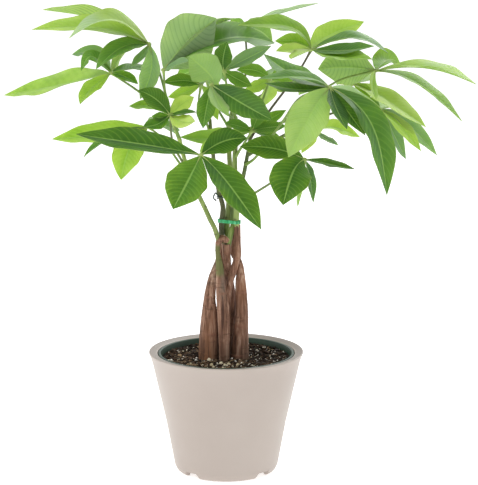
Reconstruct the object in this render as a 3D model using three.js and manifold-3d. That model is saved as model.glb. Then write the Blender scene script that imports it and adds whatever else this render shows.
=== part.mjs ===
// Potted money tree: five braided trunks in a nursery pot, inside a tapered outer pot, under a crown of
// hand-shaped compound leaves. Millimetres, +Z up, origin on the pot's axis at its foot, front towards -Y.

import * as THREE from 'three';
import { mergeVertices } from 'three/addons/utils/BufferGeometryUtils.js';
import Module from 'manifold-3d';

const wasm = await Module();
wasm.setup();

// Clearance between pieces that touch on the real plant
const GAP = 0.3;

// Outer pot
const POT_HEIGHT = 123.2;
const POT_RIM_RADIUS = 77.9;
const POT_MOUTH_RADIUS = 69.3;
const POT_FOOT_RADIUS = 47.6;
const POT_WALL_LINE = [[52.6, 6], [60.6, 50], [75.4, 116]];
const POT_WALL = 2;
const POT_FLOOR_HEIGHT = 9;
const POT_SIDES = 36;
const FOOT_WIDTH = 2.6;
const FOOT_FLARE = 2.9;
const FOOT_STEP = 1.6;
const NOTCH_COUNT = 4;
const NOTCH_WIDTH = 17;
const NOTCH_HEIGHT = 6.4;
const NOTCH_CORNER = 2.4;
const NOTCH_TURN = THREE.MathUtils.degToRad(47);
const NOTCH_DEPTH = 16;
const NOTCH_START = 10;
const CUT_SPARE = 1;

// Nursery pot
const LINER_TOP = 121.3;
const LINER_LIP_RADIUS = 68.7;
const LINER_RADIUS = 67.2;
const LINER_LIP_DROP = 3;
const LINER_FLOOR_RADIUS = 44;
const LINER_WALL = 1;
const LINER_SIDES = 32;
const LINER_LIP_SLOPE = 0.4;
const LINER_LIP_STEP = 0.2;
const LINER_LIP_INSIDE = 1;
const DRAIN_COUNT = 6;
const DRAIN_RADIUS = 3.5;
const DRAIN_CIRCLE = 32;
const DRAIN_SIDES = 8;
const DRAIN_CUT = 6;

// Potting mix
const SOIL_TOP = 116;
const SOIL_SETTLED = 0.25;
// Its surface: how high it lies over the filling line, at shares of its radius
const SOIL_SURFACE = [[1, 0], [0.82, 0.5], [0.55, -0.64], [0.3, 0.4], [0, 0.8]];

// Leaves and stems
const BLADE_THICKNESS = 0.8;
const BLADE_FOLD = THREE.MathUtils.degToRad(12);
const BLADE_SHARE = 0.37;
const BLADE_START = 1.9;
const KNEE_NEAR = 0.92;
const KNEE_FAR = 0.55;
const STALK_WIDTH = 1.8;
const TIP_WIDTH = 0.9;
const LONG_STATIONS = [0.18, 0.38, 0.6, 0.82];
const SHORT_STATIONS = [0.24, 0.52, 0.8];
const SMALL_STATIONS = [0.32, 0.7];
const HUB_RADIUS = 2.9;
const PETIOLE_TIP_RADIUS = 0.95;
const PETIOLE_FOOT_RADIUS = 1.35;
const PETIOLE_SIDES = 5;
const SHORT_LEAFLET = 40;
const LONG_LEAFLET = 92;
const MIDDLE_DEPTH = 0.58;
const WIDTH_SPARE = 1.02;
const OUTWARD_LEAN = 0.3;
const OUTLINE_SKEW = 1.08;
const OUTLINE_FULLNESS = 0.95;
const SHOOT_SIDES = 7;
const SHOOT_STEPS = 11;
const SHOOT_SAMPLES = 200;
const TRUNK_SIDES = 9;
const TRUNK_STEPS = 13;

// The plant is laid out as it is seen from an eye in front of it. A place is three numbers in millimetres:
// how far across from the pot's axis and how far up from its foot it is seen, and how far it comes towards
// the eye.
const EYE = new THREE.Vector3(13, -1624, 520);
const AIM = new THREE.Vector3(13, 0, 233.7);
const AIM_UP = 239.5;
const RIGHTWARD = new THREE.Vector3(1, 0, 0);
const UPWARD = RIGHTWARD.clone().cross(AIM.clone().sub(EYE).normalize());
const SKY = new THREE.Vector3(0, 0, 1);

function seen([across, up, toward]) {
  const mark = AIM.clone()
    .addScaledVector(RIGHTWARD, across - AIM.x)
    .addScaledVector(UPWARD, up - AIM_UP);
  const share = (-toward - EYE.y) / (mark.y - EYE.y);
  return EYE.clone().lerp(mark, share);
}

// Trunks and shoots: [across, up, toward, radius] along each, from the soil up
const TRUNKS = [
  [[-2, 104, 13, 6], [-1.8, 130, 13.5, 5.6], [-2, 153, 13, 6], [-3.2, 176, 12, 6.2], [-5.4, 196, 11, 4.8],
    [-6, 207, 10.5, 4.2], [-6.4, 214, 10.3, 3.9], [-6.9, 220, 10, 3.4], [-8.1, 228, 9.7, 2.5],
    [-8.2, 236, 9.5, 2.6], [-7, 240.6, 9.2, 3.3], [-4.4, 243.6, 8.6, 3.6], [-1.2, 243, 8, 3.3],
    [1.8, 241, 7.4, 2.6]],
  [[-17.5, 104, 4, 10.5], [-17.2, 133, 4, 10.2], [-16.8, 152, 4, 9.6], [-16.4, 170, 3.5, 8],
    [-16.3, 184, 3, 6.1], [-13.6, 201, 1, 5.2], [-9.2, 213.5, -3.4, 5], [-6.6, 221, -7.5, 4.5],
    [-4.8, 229, -11, 4.2], [-3, 241, -12, 4]],
  [[13.5, 104, 2, 10], [13.5, 130, 2, 9.6], [14.7, 153, 1, 7.8], [16, 170, 0, 6.3], [15.2, 187, -1, 6.1],
    [14.7, 199, -2, 5.4], [14.5, 208, -3.2, 4.5], [13.6, 216, -5, 4], [11.2, 223, -7.4, 3.8],
    [8.2, 228.5, -9.6, 3.8], [7.4, 237, -10.8, 3.5], [7.2, 246, -11.6, 3.3], [8, 253, -11.4, 3.1]],
  [[-9, 104, -14, 6.2], [-8, 135, -13, 6], [-5, 155, -10.5, 5.5], [-0.5, 176, -5.2, 4.6],
    [2.2, 192, -0.5, 3.8], [4.5, 202, 2.8, 3.4], [6.6, 208.5, 4.2, 3.8], [8.8, 216, 5, 3.7],
    [10.4, 221, 4.6, 3.7], [11.4, 227, 4.2, 4.1], [11.6, 234, 3.4, 3.6], [11.5, 243, 2.6, 3.4],
    [11.4, 257, 2.2, 3.2]],
  [[7, 104, -20, 6.8], [6, 135, -19.5, 6.4], [6, 153, -18, 5.6], [6, 176, -14, 5], [3.4, 196, -11.4, 5.4],
    [2, 206, -8.6, 5], [1.1, 216, -3.8, 4.5], [0.8, 224, 0, 4.3], [0.3, 231, 1.2, 4.4],
    [0.4, 238, 1.8, 4.4]],
];
const SHOOTS = [
  [[-7.4, 240, 9.2, 2.4], [-9.4, 248, 9, 2.6], [-11.6, 254.5, 9, 2.5], [-16.6, 264, 9, 2.5],
    [-28.5, 290, 8, 2.3], [-36, 307, 7, 2.2], [-42, 325, 6, 2.1], [-47.5, 345, 5, 2], [-52, 357, 5, 1.9],
    [-56, 371, 4, 1.8], [-60, 384, 4, 1.6]],
  [[-3.4, 236, -11.6, 2.8], [-4.4, 250, -8, 2.9], [-4.6, 257, -5.6, 2.9], [-3.4, 268, -3.6, 2.8],
    [-3.4, 276, -3, 2.6], [-7, 290, -2, 2.3], [-10, 306, -1, 2.2], [-12.5, 325, 0, 2.1],
    [-14.5, 345, 0, 1.9], [-16, 362, -2, 1.6]],
  [[11.4, 254, 2.4, 2.7], [10.4, 261, 3, 3.1], [10.4, 271, 3.4, 3.1], [9.5, 290, 3, 2.8], [9, 307, 3, 2.6],
    [9, 327, 2, 2.5], [10, 345, 2, 2.2], [10, 364, 1, 1.8]],
  [[4.6, 239, -11.4, 2.9], [1.2, 248, -11.8, 2.9], [0.7, 256, -11.4, 3.4], [1.7, 263, -10.4, 3.3],
    [2.6, 272, -10.2, 3.4], [3.6, 290, -11, 3.2], [4, 315, -14, 2.7], [3, 335, -18, 2.3], [4, 355, -24, 2],
    [6, 374, -32, 1.7]],
  [[2.6, 236, 1.2, 2.3], [3.8, 244, 0.6, 2.7], [5.6, 251, 0, 2.8], [7.2, 258, -2.8, 2.8],
    [7, 265, -4.4, 2.9], [7.6, 272, -5.6, 2.8], [12.2, 287, -6, 2.5], [17, 305, -6, 2.2], [21, 324, -4, 2],
    [23, 337, -3, 1.8], [24.5, 350, -4, 1.6]],
];

// Ties round the stems. TIE_STEMS is the shoots the band goes round, each with its radius there.
const TIE_UP = 260.5;
const TIE_HEIGHT = 4;
const TIE_THICKNESS = 0.7;
const TIE_SIDES = 20;
const TIE_STEMS = [[1, 3.1], [2, 3.2], [3, 3.3], [4, 2.9]];
const WIRE_RADIUS = 0.75;
const WIRE_STEM = 1;
const WIRE_UP = 283;
const WIRE_STEM_RADIUS = 2.7;
const WIRE_SLACK = 0.2;
const WIRE_POINTS = 8;
const WIRE_START = -0.35 * Math.PI;
const WIRE_TURN = 1.72 * Math.PI;
const WIRE_RISE = 0.35;
const WIRE_SIDES = 5;
const WIRE_STEPS = 22;
const WIRE_TAIL = [[-8, 286, 3], [-10.5, 289, 4], [-12.5, 284, 4.5], [-10, 281.5, 5.5]];

// Leaves. hub is where the leaflets meet, joins is the shoot and the height on it where the leaf stalk grows,
// stalk lists the places between, and each leaflet is [middle across, middle up, tip across, tip up, tip
// towards, width as seen]. A leaflet seen from below has its width written negative.
const LEAVES = [
  { hub: [-77, 438, 10], joins: [0, 378], stalk: [[-64.5, 403, 6]], leaflets: [
    [-134.5, 459, -194, 452.5, 30, 15], [-119, 467, -157, 444, 62, 11],
    [-126, 468.5, -183, 472.5, -60, -9], [-108, 435, -130, 413, 55, 16], [-87, 424, -94, 416, 35, 8],
    [-76, 410, -86, 383, 12, 19]] },
  { hub: [-115, 409, -20], joins: [0, 365], stalk: [[-88, 391, -12]], leaflets: [
    [-171, 401, -222, 387, -100, 17], [-137, 393, -146, 378, 15, 14], [-100, 406, -88, 398, 0, 10],
    [-93, 415.5, -72, 414, -60, 7], [-108, 425, -97, 435, -65, -10], [-134.5, 431, -154, 427.5, -65, 13],
    [-136, 427, -145, 411.5, -30, 11]] },
  { hub: [-56, 367, 32], joins: [0, 309], stalk: [[-53, 339, 20]], leaflets: [
    [-71, 384, -87.5, 392, 25, 20], [-77, 378, -97, 376, -5, 11], [-43, 379, -32, 385, 15, 16],
    [-43, 370, -30, 370, 55, 5], [-43, 361, -31, 361, 70, 14], [-71, 358, -82.5, 356, 65, 12],
    [-65, 364.5, -74, 366, 45, 11]] },
  { hub: [-25, 327, 95], joins: [1, 297], stalk: [[-15, 311, 55]], leaflets: [
    [-92, 343, -150, 348, 85, 21], [-40.5, 298, -53, 273, 135, 38], [8, 295, 35, 253, 145, 27],
    [0, 342, 21, 344, 75, 24], [-16, 341, -8, 350, 55, 8]] },
  { hub: [-78, 355, -35], joins: [0, 302], stalk: [[-65, 345, -25], [-48, 321, -6]], leaflets: [
    [-126, 351, -174, 343, -50, 20], [-121, 344, -142.5, 325, -10, 8], [-98, 331, -105, 302, -5, 30],
    [-62, 358, -46, 352, -100, 14]] },
  { hub: [-62.5, 412, 35], joins: [0, 345], stalk: [[-60, 385, 20]], leaflets: [
    [-41, 438, -10, 464, 0, -53], [-49, 419, -38, 421, 75, 7], [2, 449, 49, 439, -80, 26],
    [-22, 456, 10, 464, -60, 5]] },
  { hub: [-14.5, 397, 65], joins: [2, 360], stalk: [[-1, 372, 30]], leaflets: [
    [-20, 374, -23, 354, 95, 18], [-17, 409, -37, 426, 50, 32], [18, 379, 46, 362, 112, 26],
    [-7, 381, 2, 366, 105, 14], [4, 391, 21, 388, 80, 13]] },
  { hub: [-2, 411, 25], joins: [2, 362], stalk: [[3, 385, 14]], leaflets: [
    [-3, 425, 1, 440, 42, 18], [20, 424.5, 45, 436, 24, 14], [10, 404, 26, 396, 20, 14]] },
  { hub: [85.5, 432.5, -30], joins: [4, 343], stalk: [[73, 411, -28], [44, 372, -24]], leaflets: [
    [60, 459, 12, 457, -25, 14], [68, 442, 49, 441, -60, 15], [67, 434, 50, 431, 0, 11],
    [74, 430, 65, 423.5, 25, 6], [106, 450, 138, 460.5, -80, 23], [117, 434, 148, 436, 15, 11],
    [118, 428, 146, 423, 30, 12], [132, 447, 162, 429, -40, 7]] },
  { hub: [150, 411.5, -10], joins: [4, 336], stalk: [[110, 400, -20], [60, 362, -26]], leaflets: [
    [119, 415.5, 92, 413, -40, -38], [199, 398, 236, 361, 20, 8], [207, 417.5, 250, 398, 60, 7],
    [163, 424, 174, 419, -75, 20], [148, 397, 150.5, 382.5, 25, 7]] },
  { hub: [104, 394.5, 85], joins: [4, 317], stalk: [[74, 384, 62], [57, 361, 45], [28, 323, 5]], leaflets: [
    [84, 368, 62.5, 325, 135, 36], [112, 374, 121, 353, 125, 13], [124, 370, 139, 347, 118, 17],
    [152, 353, 161, 287, 110, 24], [127, 385, 149, 370, 75, 7], [131, 388, 155, 373.5, 45, 8],
    [72, 408, 32, 403, 92, 8], [70, 395, 39, 399, 60, 10], [66, 411, 38, 428, 35, 16]] },
  { hub: [78.5, 322.5, 75], joins: [4, 276], stalk: [[48, 301, 38]], leaflets: [
    [65, 307, 57, 277, 122, 38], [46, 335, 14, 335.5, 48, 23], [102, 320, 129, 313, 90, 7],
    [86, 302, 87.5, 279.5, 62, 8], [75, 297, 72, 275, 45, 6]] },
  { hub: [91, 351, -20], joins: [4, 330], stalk: [[56, 345, -16]], leaflets: [
    [111, 356, 134, 345, -50, 12], [83, 339, 75.5, 329, 5, 9], [102, 343, 112, 337, 10, 6],
    [84, 364, 80, 380, 5, 12], [96, 365, 101, 380, -10, 12]] },
  { hub: [26, 351, 22], joins: [2, 325], stalk: [[19, 340, 12]], leaflets: [
    [43, 355, 60, 356, 28, 12], [46, 345, 64, 334, 5, 10], [-14, 346, -46, 345, 24, 15],
    [12, 357, -1, 359, 44, 11], [32, 367, 37, 381, 28, 14], [44, 364, 60, 372, 2, 12]] },
  { hub: [-25, 397, 0], joins: [1, 340], stalk: [[-27, 378, 0], [-18, 355, 0]], leaflets: [
    [-43, 402, -63, 399.5, 15, 13], [-43, 390, -58, 385, -15, 12], [-20, 405, -14, 411, -60, 14],
    [-14, 380, -8, 362, -22, 12]] },
  { hub: [44, 403, 0], joins: [4, 349], stalk: [[36, 380, -2]], leaflets: [
    [28, 412, 10.5, 412, 2, 13], [31, 396, 18, 391, 2, 12], [60, 408, 72, 402, -6, 18],
    [49, 411, 52, 415, -45, 14], [43, 388, 38, 376, -40, 15]] },
  { hub: [19, 455, -76], joins: [3, 370], stalk: [[20, 410, -60]], leaflets: [
    [54, 472, 92, 479, -60, 2], [38, 451, 46.5, 438, -146, 18], [9, 452, 1, 440, -130, 20]] },
  { hub: [154, 373, -40], joins: [4, 326], stalk: [[118, 372, -45], [64, 350, -38]], leaflets: [
    [188, 355, 211, 327, -62, 14], [178, 354, 195, 331, -30, 13], [170, 349, 180, 323, -85, 13],
    [166, 378, 172, 374, -125, 14], [137, 377, 120, 371, -90, 14]] },
  { hub: [-20, 402, -80], joins: [3, 350], stalk: [[-12, 380, -55]], leaflets: [
    [-36, 411, -50, 402, -132, 22], [-22, 418, -22, 416, -148, 24], [-6, 411, 6, 406, -138, 22],
    [-12, 394, -4, 386, -120, 16]] },
  { hub: [59, 398, -75], joins: [3, 362], stalk: [[34, 386, -55]], leaflets: [
    [72, 400, 82, 390, -140, 22], [56, 403, 54, 397, -148, 20], [43, 402, 31, 394, -128, 20]] },
  { hub: [127, 398, -65], joins: [3, 348], stalk: [[84, 368, -60]], leaflets: [
    [162, 385, 200, 355, -20, 17], [138, 392, 144, 384, -40, 12], [137, 406, 143, 410, -120, 16],
    [116, 404, 108, 404, -110, 16]] },
];

// A closed body from rings of points, all with the same count, capped at both ends. bend tells, for each side
// of the ring, whether its quads are split from their other corner.
function loft(rings, bend = []) {
  const count = rings[0].length;
  const positions = rings.flat().flatMap((point) => point.toArray());
  const faces = [];
  for (let ring = 0; ring < rings.length - 1; ring += 1) {
    for (let side = 0; side < count; side += 1) {
      const next = (side + 1) % count;
      const a = ring * count + side;
      const b = ring * count + next;
      const c = b + count;
      const d = a + count;
      faces.push(...(bend[side] ? [a, b, d, b, c, d] : [a, b, c, a, c, d]));
    }
  }
  const last = (rings.length - 1) * count;
  const middle = 1;
  for (let step = 1; step < count - 1; step += 1) {
    const near = (middle + step) % count;
    const far = (middle + step + 1) % count;
    faces.push(middle, far, near, last + middle, last + near, last + far);
  }
  const geometry = new THREE.BufferGeometry();
  geometry.setAttribute('position', new THREE.Float32BufferAttribute(positions, 3));
  geometry.setIndex(faces);
  return geometry;
}

function toManifold(geometry) {
  const bare = geometry.clone();
  bare.deleteAttribute('normal');
  bare.deleteAttribute('uv');
  const merged = mergeVertices(bare, 1e-4);
  return new wasm.Manifold(new wasm.Mesh({
    numProp: 3,
    vertProperties: new Float32Array(merged.attributes.position.array),
    triVerts: new Uint32Array(merged.index.array),
  }));
}

function toGeometry(solid) {
  const mesh = solid.getMesh();
  const geometry = new THREE.BufferGeometry();
  geometry.setAttribute('position', new THREE.Float32BufferAttribute(mesh.vertProperties, 3));
  geometry.setIndex([...mesh.triVerts]);
  return geometry;
}

// A round stem along a curve, its radius read from the given list of radii
function stem(points, radii, sides, steps, extra = 0) {
  const curve = new THREE.CatmullRomCurve3(points, false, 'centripetal');
  const frames = curve.computeFrenetFrames(steps, false);
  const rings = [];
  for (let step = 0; step <= steps; step += 1) {
    const share = step / steps;
    const place = curve.getUtoTmapping(share) * (radii.length - 1);
    const before = Math.min(Math.floor(place), radii.length - 2);
    const radius = THREE.MathUtils.lerp(radii[before], radii[before + 1], place - before) + extra;
    const centre = curve.getPointAt(share);
    rings.push(Array.from({ length: sides }, (_, side) => {
      const angle = (2 * Math.PI * side) / sides;
      return centre.clone()
        .addScaledVector(frames.normals[step], radius * Math.cos(angle))
        .addScaledVector(frames.binormals[step], radius * Math.sin(angle));
    }));
  }
  return loft(rings);
}

const stemPoints = (places) => places.map((place) => seen(place));
const stemRadii = (places) => places.map((place) => place[3]);

// A leaflet is a thin blade from its hub over a middle point to its tip, on a curve that bends most near the
// hub. Its top face leans to the sky by as much as its seen width falls short of its true width.
function leaflet(hub, [midAcross, midUp, tipAcross, tipUp, tipToward, seenWidth]) {
  const start = seen(hub);
  const middle = seen([midAcross, midUp, THREE.MathUtils.lerp(hub[2], tipToward, MIDDLE_DEPTH)]);
  const tip = seen([tipAcross, tipUp, tipToward]);
  const knee = middle.clone().multiplyScalar(8)
    .addScaledVector(start, 3 * KNEE_NEAR - 4)
    .addScaledVector(tip, 3 * KNEE_FAR - 4)
    .divideScalar(3 * (KNEE_NEAR + KNEE_FAR));
  const curve = new THREE.CubicBezierCurve3(
    start, start.clone().lerp(knee, KNEE_NEAR), tip.clone().lerp(knee, KNEE_FAR), tip);
  const length = curve.getLength();
  const width = Math.max(length * BLADE_SHARE, Math.abs(seenWidth) * WIDTH_SPARE);
  const facing = Math.abs(seenWidth) / width;
  const lean = Math.sqrt(1 - facing * facing);
  const size = (length > SHORT_LEAFLET) + (length > LONG_LEAFLET);
  const between = [SMALL_STATIONS, SHORT_STATIONS, LONG_STATIONS][size];
  const stations = [BLADE_START / length, ...between, 1];
  const toEye = EYE.clone().sub(middle).normalize();
  const trend = tip.clone().sub(start).normalize();
  const side = new THREE.Vector3().crossVectors(trend, toEye).normalize();
  const outward = new THREE.Vector3(middle.x, middle.y, 0).normalize();
  const skyward = side.dot(SKY) + OUTWARD_LEAN * side.dot(outward) < 0 ? -1 : 1;
  const rings = stations.map((share) => {
    const centre = curve.getPointAt(share);
    const along = curve.getTangentAt(share);
    const inView = new THREE.Vector3().crossVectors(along, toEye).normalize();
    const toward = new THREE.Vector3().crossVectors(inView, along).normalize();
    const top = toward.multiplyScalar(Math.sign(seenWidth) * facing)
      .addScaledVector(inView, skyward * lean);
    const out = new THREE.Vector3().crossVectors(along, top).normalize();
    const half = Math.max(width * leafletOutline(share), share < 0.5 ? STALK_WIDTH : TIP_WIDTH) / 2;
    const left = centre.clone().addScaledVector(out, -half);
    const right = centre.clone().addScaledVector(out, half);
    const rib = centre.clone().addScaledVector(top, -half * Math.tan(BLADE_FOLD));
    const under = top.clone().multiplyScalar(-BLADE_THICKNESS);
    return [left, rib, right, right.clone().add(under), rib.clone().add(under), left.clone().add(under)];
  });
  return loft(rings, [false, true, false, false, true, false]);
}

// Share of the full width at a share of the length: none at the stalk, full past the middle, pointed tip
function leafletOutline(share) {
  return Math.max(Math.sin(Math.PI * share ** OUTLINE_SKEW), 0) ** OUTLINE_FULLNESS;
}

// Points on a shoot: the one whose height is nearest to where `up` is seen on the pot's axis
function onShoot(shoot, up) {
  const points = new THREE.CatmullRomCurve3(stemPoints(SHOOTS[shoot]), false, 'centripetal')
    .getPoints(SHOOT_SAMPLES);
  const height = seen([0, up, 0]).z;
  return points.reduce((best, point) => (
    Math.abs(point.z - height) < Math.abs(best.z - height) ? point : best));
}

const shootSolid = (places, extra = 0) => toManifold(
  stem(stemPoints(places), stemRadii(places), SHOOT_SIDES, SHOOT_STEPS, extra));

function leaf({ hub, joins, stalk, leaflets }) {
  const centre = seen(hub);
  const hubBall = new THREE.IcosahedronGeometry(HUB_RADIUS).translate(...centre.toArray());
  const stalkPoints = [centre, ...stalk.map(seen), onShoot(...joins)];
  const petiole = stem(stalkPoints, [PETIOLE_TIP_RADIUS, PETIOLE_FOOT_RADIUS], PETIOLE_SIDES,
    3 + 2 * stalk.length);
  let solid = toManifold(hubBall).add(toManifold(petiole));
  for (const row of leaflets) {
    solid = solid.add(toManifold(leaflet(hub, row)));
  }
  const shoot = SHOOTS[joins[0]];
  return solid.subtract(shootSolid(shoot, GAP));
}

const lathe = (profile, sides) => toManifold(
  new THREE.LatheGeometry(profile.map(([radius, height]) => new THREE.Vector2(radius, height)), sides)
    .rotateX(Math.PI / 2),
);

const linerRadius = (height) => THREE.MathUtils.mapLinear(
  height, POT_FLOOR_HEIGHT + GAP, LINER_TOP, LINER_FLOOR_RADIUS, LINER_RADIUS);

// Outer pot: a plain cone on four low feet, with a flat rim that slopes in to the mouth
function outerPot() {
  const rimDrop = 1.9;
  const rimThickness = 2.2;
  const rimEdge = 0.7;
  const floorThickness = 2.2;
  const mouthTop = POT_HEIGHT - rimDrop;
  let pot = lathe([
    [0, POT_FLOOR_HEIGHT - floorThickness],
    [POT_FOOT_RADIUS - FOOT_WIDTH, POT_FLOOR_HEIGHT - floorThickness],
    [POT_FOOT_RADIUS - FOOT_WIDTH, 0],
    [POT_FOOT_RADIUS, 0],
    [POT_FOOT_RADIUS + FOOT_FLARE, FOOT_STEP],
    ...POT_WALL_LINE,
    [POT_RIM_RADIUS, POT_HEIGHT - 3 * rimEdge],
    [POT_RIM_RADIUS, POT_HEIGHT - rimEdge],
    [POT_RIM_RADIUS - rimEdge, POT_HEIGHT],
    [POT_MOUTH_RADIUS, mouthTop],
    [POT_MOUTH_RADIUS, mouthTop - rimThickness],
    ...POT_WALL_LINE.slice(1).reverse().map(([radius, height]) => [radius - POT_WALL, height]),
    [POT_FOOT_RADIUS + FOOT_WIDTH, POT_FLOOR_HEIGHT],
    [0, POT_FLOOR_HEIGHT],
  ], POT_SIDES);
  const half = NOTCH_WIDTH / 2;
  const arch = new THREE.Shape()
    .moveTo(-half - CUT_SPARE, -CUT_SPARE)
    .lineTo(half + CUT_SPARE, -CUT_SPARE)
    .lineTo(half, NOTCH_HEIGHT - NOTCH_CORNER)
    .lineTo(half - NOTCH_CORNER, NOTCH_HEIGHT)
    .lineTo(NOTCH_CORNER - half, NOTCH_HEIGHT)
    .lineTo(-half, NOTCH_HEIGHT - NOTCH_CORNER);
  for (let notch = 0; notch < NOTCH_COUNT; notch += 1) {
    const reach = new THREE.ExtrudeGeometry(arch, { depth: NOTCH_DEPTH, bevelEnabled: false })
      .rotateX(Math.PI / 2)
      .translate(0, NOTCH_START - POT_FOOT_RADIUS, 0)
      .rotateZ(NOTCH_TURN + (2 * Math.PI * notch) / NOTCH_COUNT);
    pot = pot.subtract(toManifold(reach));
  }
  return pot;
}

// Nursery pot: thin, lipped, with drain holes in its floor
function nurseryPot() {
  const bottom = POT_FLOOR_HEIGHT + GAP;
  const lipFoot = LINER_TOP - LINER_LIP_DROP;
  const insideLip = lipFoot - LINER_LIP_INSIDE;
  let pot = lathe([
    [0, bottom],
    [LINER_FLOOR_RADIUS, bottom],
    [LINER_RADIUS - LINER_LIP_STEP, lipFoot - LINER_LIP_SLOPE],
    [LINER_LIP_RADIUS, lipFoot],
    [LINER_LIP_RADIUS, LINER_TOP],
    [LINER_RADIUS - LINER_WALL, LINER_TOP],
    [linerRadius(insideLip) - LINER_WALL, insideLip],
    [LINER_FLOOR_RADIUS - LINER_WALL, bottom + LINER_WALL],
    [0, bottom + LINER_WALL],
  ], LINER_SIDES);
  for (let drain = 0; drain < DRAIN_COUNT; drain += 1) {
    const angle = (2 * Math.PI * drain) / DRAIN_COUNT;
    const hole = new THREE.CylinderGeometry(DRAIN_RADIUS, DRAIN_RADIUS, DRAIN_CUT, DRAIN_SIDES)
      .rotateX(Math.PI / 2)
      .translate(DRAIN_CIRCLE * Math.cos(angle), DRAIN_CIRCLE * Math.sin(angle), bottom);
    pot = pot.subtract(toManifold(hole));
  }
  return pot;
}

// Potting mix: fills the nursery pot to a slightly dished top, with a plain hole for each trunk
function soil(trunkHoles) {
  const bottom = POT_FLOOR_HEIGHT + GAP + LINER_WALL + GAP;
  const edge = linerRadius(SOIL_TOP) - LINER_WALL - GAP - SOIL_SETTLED;
  let mix = lathe([
    [0, bottom],
    [LINER_FLOOR_RADIUS - LINER_WALL - GAP, bottom],
    ...SOIL_SURFACE.map(([share, lift]) => [edge * share, SOIL_TOP + lift]),
  ], LINER_SIDES);
  for (const hole of trunkHoles) {
    mix = mix.subtract(hole);
  }
  return mix;
}

const trunkSolid = (places, extra) => toManifold(
  stem(stemPoints(places), stemRadii(places), TRUNK_SIDES, TRUNK_STEPS, extra));

// The outline that hugs a row of round stems: for each direction, the stem that reaches furthest that way
function hugging(circles, offset, count) {
  return Array.from({ length: count }, (_, step) => {
    const angle = (2 * Math.PI * step) / count;
    const way = new THREE.Vector2(Math.cos(angle), Math.sin(angle));
    const reach = ({ centre, radius }) => centre.dot(way) + radius;
    const outer = circles.reduce((best, circle) => (reach(circle) > reach(best) ? circle : best));
    return outer.centre.clone().addScaledVector(way, outer.radius + offset);
  });
}

function tie() {
  const circles = TIE_STEMS.map(([index, radius]) => {
    const point = onShoot(index, TIE_UP);
    return { centre: new THREE.Vector2(point.x, point.y), radius };
  });
  const band = new THREE.Shape(hugging(circles, GAP + TIE_THICKNESS, TIE_SIDES));
  band.holes.push(new THREE.Path(hugging(circles, GAP, TIE_SIDES)));
  const height = seen([0, TIE_UP, 0]).z - TIE_HEIGHT / 2;
  const ring = new THREE.ExtrudeGeometry(band, { depth: TIE_HEIGHT, bevelEnabled: false });
  return toManifold(ring.translate(0, 0, height));
}

// A short wire twist round one stem, with its free end standing out to the left
function twistTie() {
  const heart = onShoot(WIRE_STEM, WIRE_UP);
  const loop = WIRE_STEM_RADIUS + GAP + WIRE_RADIUS + WIRE_SLACK;
  const turns = Array.from({ length: WIRE_POINTS }, (_, step) => {
    const angle = WIRE_START + (WIRE_TURN * step) / (WIRE_POINTS - 1);
    return new THREE.Vector3(
      heart.x + loop * Math.sin(angle), heart.y + loop * Math.cos(angle), heart.z + step * WIRE_RISE);
  });
  const tail = WIRE_TAIL.map(seen);
  return toManifold(stem([...turns, ...tail], [WIRE_RADIUS, WIRE_RADIUS], WIRE_SIDES, WIRE_STEPS));
}

const COLORS = {
  pot: 0xc8bcb0,
  liner: 0x2d4b37,
  soil: 0x3f2a1d,
  bark: 0x7a5a44,
  shoot: 0x6d8a45,
  tie: 0x38b06a,
  wire: 0x1d3a2c,
  leaf: 0x62a23a,
  darkLeaf: 0x4f8f2e,
};

const tree = new THREE.Group();

function place(name, solid, color, roughness = 0.6) {
  const mesh = new THREE.Mesh(
    toGeometry(solid),
    new THREE.MeshStandardMaterial({ color, roughness, metalness: 0 }),
  );
  mesh.name = name;
  tree.add(mesh);
}

const trunks = TRUNKS.map((places) => trunkSolid(places, 0));
const trunkClearances = TRUNKS.map((places) => trunkSolid(places, GAP));

place('outer_pot', outerPot(), COLORS.pot, 0.55);
place('grow_pot', nurseryPot(), COLORS.liner, 0.45);
place('soil', soil(trunkClearances), COLORS.soil, 0.95);
trunks.forEach((trunk, index) => place(`trunk_${index + 1}`, trunk, COLORS.bark, 0.85));

SHOOTS.forEach((places, index) => {
  const shoot = shootSolid(places);
  const clear = trunkClearances.reduce((rest, trunk) => rest.subtract(trunk), shoot);
  place(`shoot_${index + 1}`, clear, COLORS.shoot);
});
place('green_tie', tie(), COLORS.tie, 0.4);
place('twist_tie', twistTie(), COLORS.wire, 0.5);

LEAVES.forEach((row, index) => {
  const color = index % 2 ? COLORS.darkLeaf : COLORS.leaf;
  place(`leaf_${String(index + 1).padStart(2, '0')}`, leaf(row), color, 0.5);
});

export default tree;
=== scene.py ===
"""Potted money tree: five braided trunks in a nursery pot, inside a tapered outer pot, under a crown of
hand-shaped leaves. The tables are in millimetres, with +Z up, the origin on the pot's axis at its foot and
the front towards -Y. Pieces are made in millimetres and scaled to metres when their mesh is written."""
import math

import bpy
import mathutils
import numpy as np
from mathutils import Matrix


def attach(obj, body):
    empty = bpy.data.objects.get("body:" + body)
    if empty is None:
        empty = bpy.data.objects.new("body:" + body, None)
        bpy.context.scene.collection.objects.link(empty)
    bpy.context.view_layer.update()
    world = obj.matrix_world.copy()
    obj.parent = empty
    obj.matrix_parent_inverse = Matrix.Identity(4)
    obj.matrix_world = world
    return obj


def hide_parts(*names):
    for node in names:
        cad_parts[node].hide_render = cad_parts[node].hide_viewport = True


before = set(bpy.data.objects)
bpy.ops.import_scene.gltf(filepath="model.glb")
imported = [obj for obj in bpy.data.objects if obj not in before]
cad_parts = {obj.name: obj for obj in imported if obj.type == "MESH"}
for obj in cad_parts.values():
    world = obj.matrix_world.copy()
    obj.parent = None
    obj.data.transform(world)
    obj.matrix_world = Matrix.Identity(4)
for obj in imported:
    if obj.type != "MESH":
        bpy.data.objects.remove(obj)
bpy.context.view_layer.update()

MM = 0.001
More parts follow.
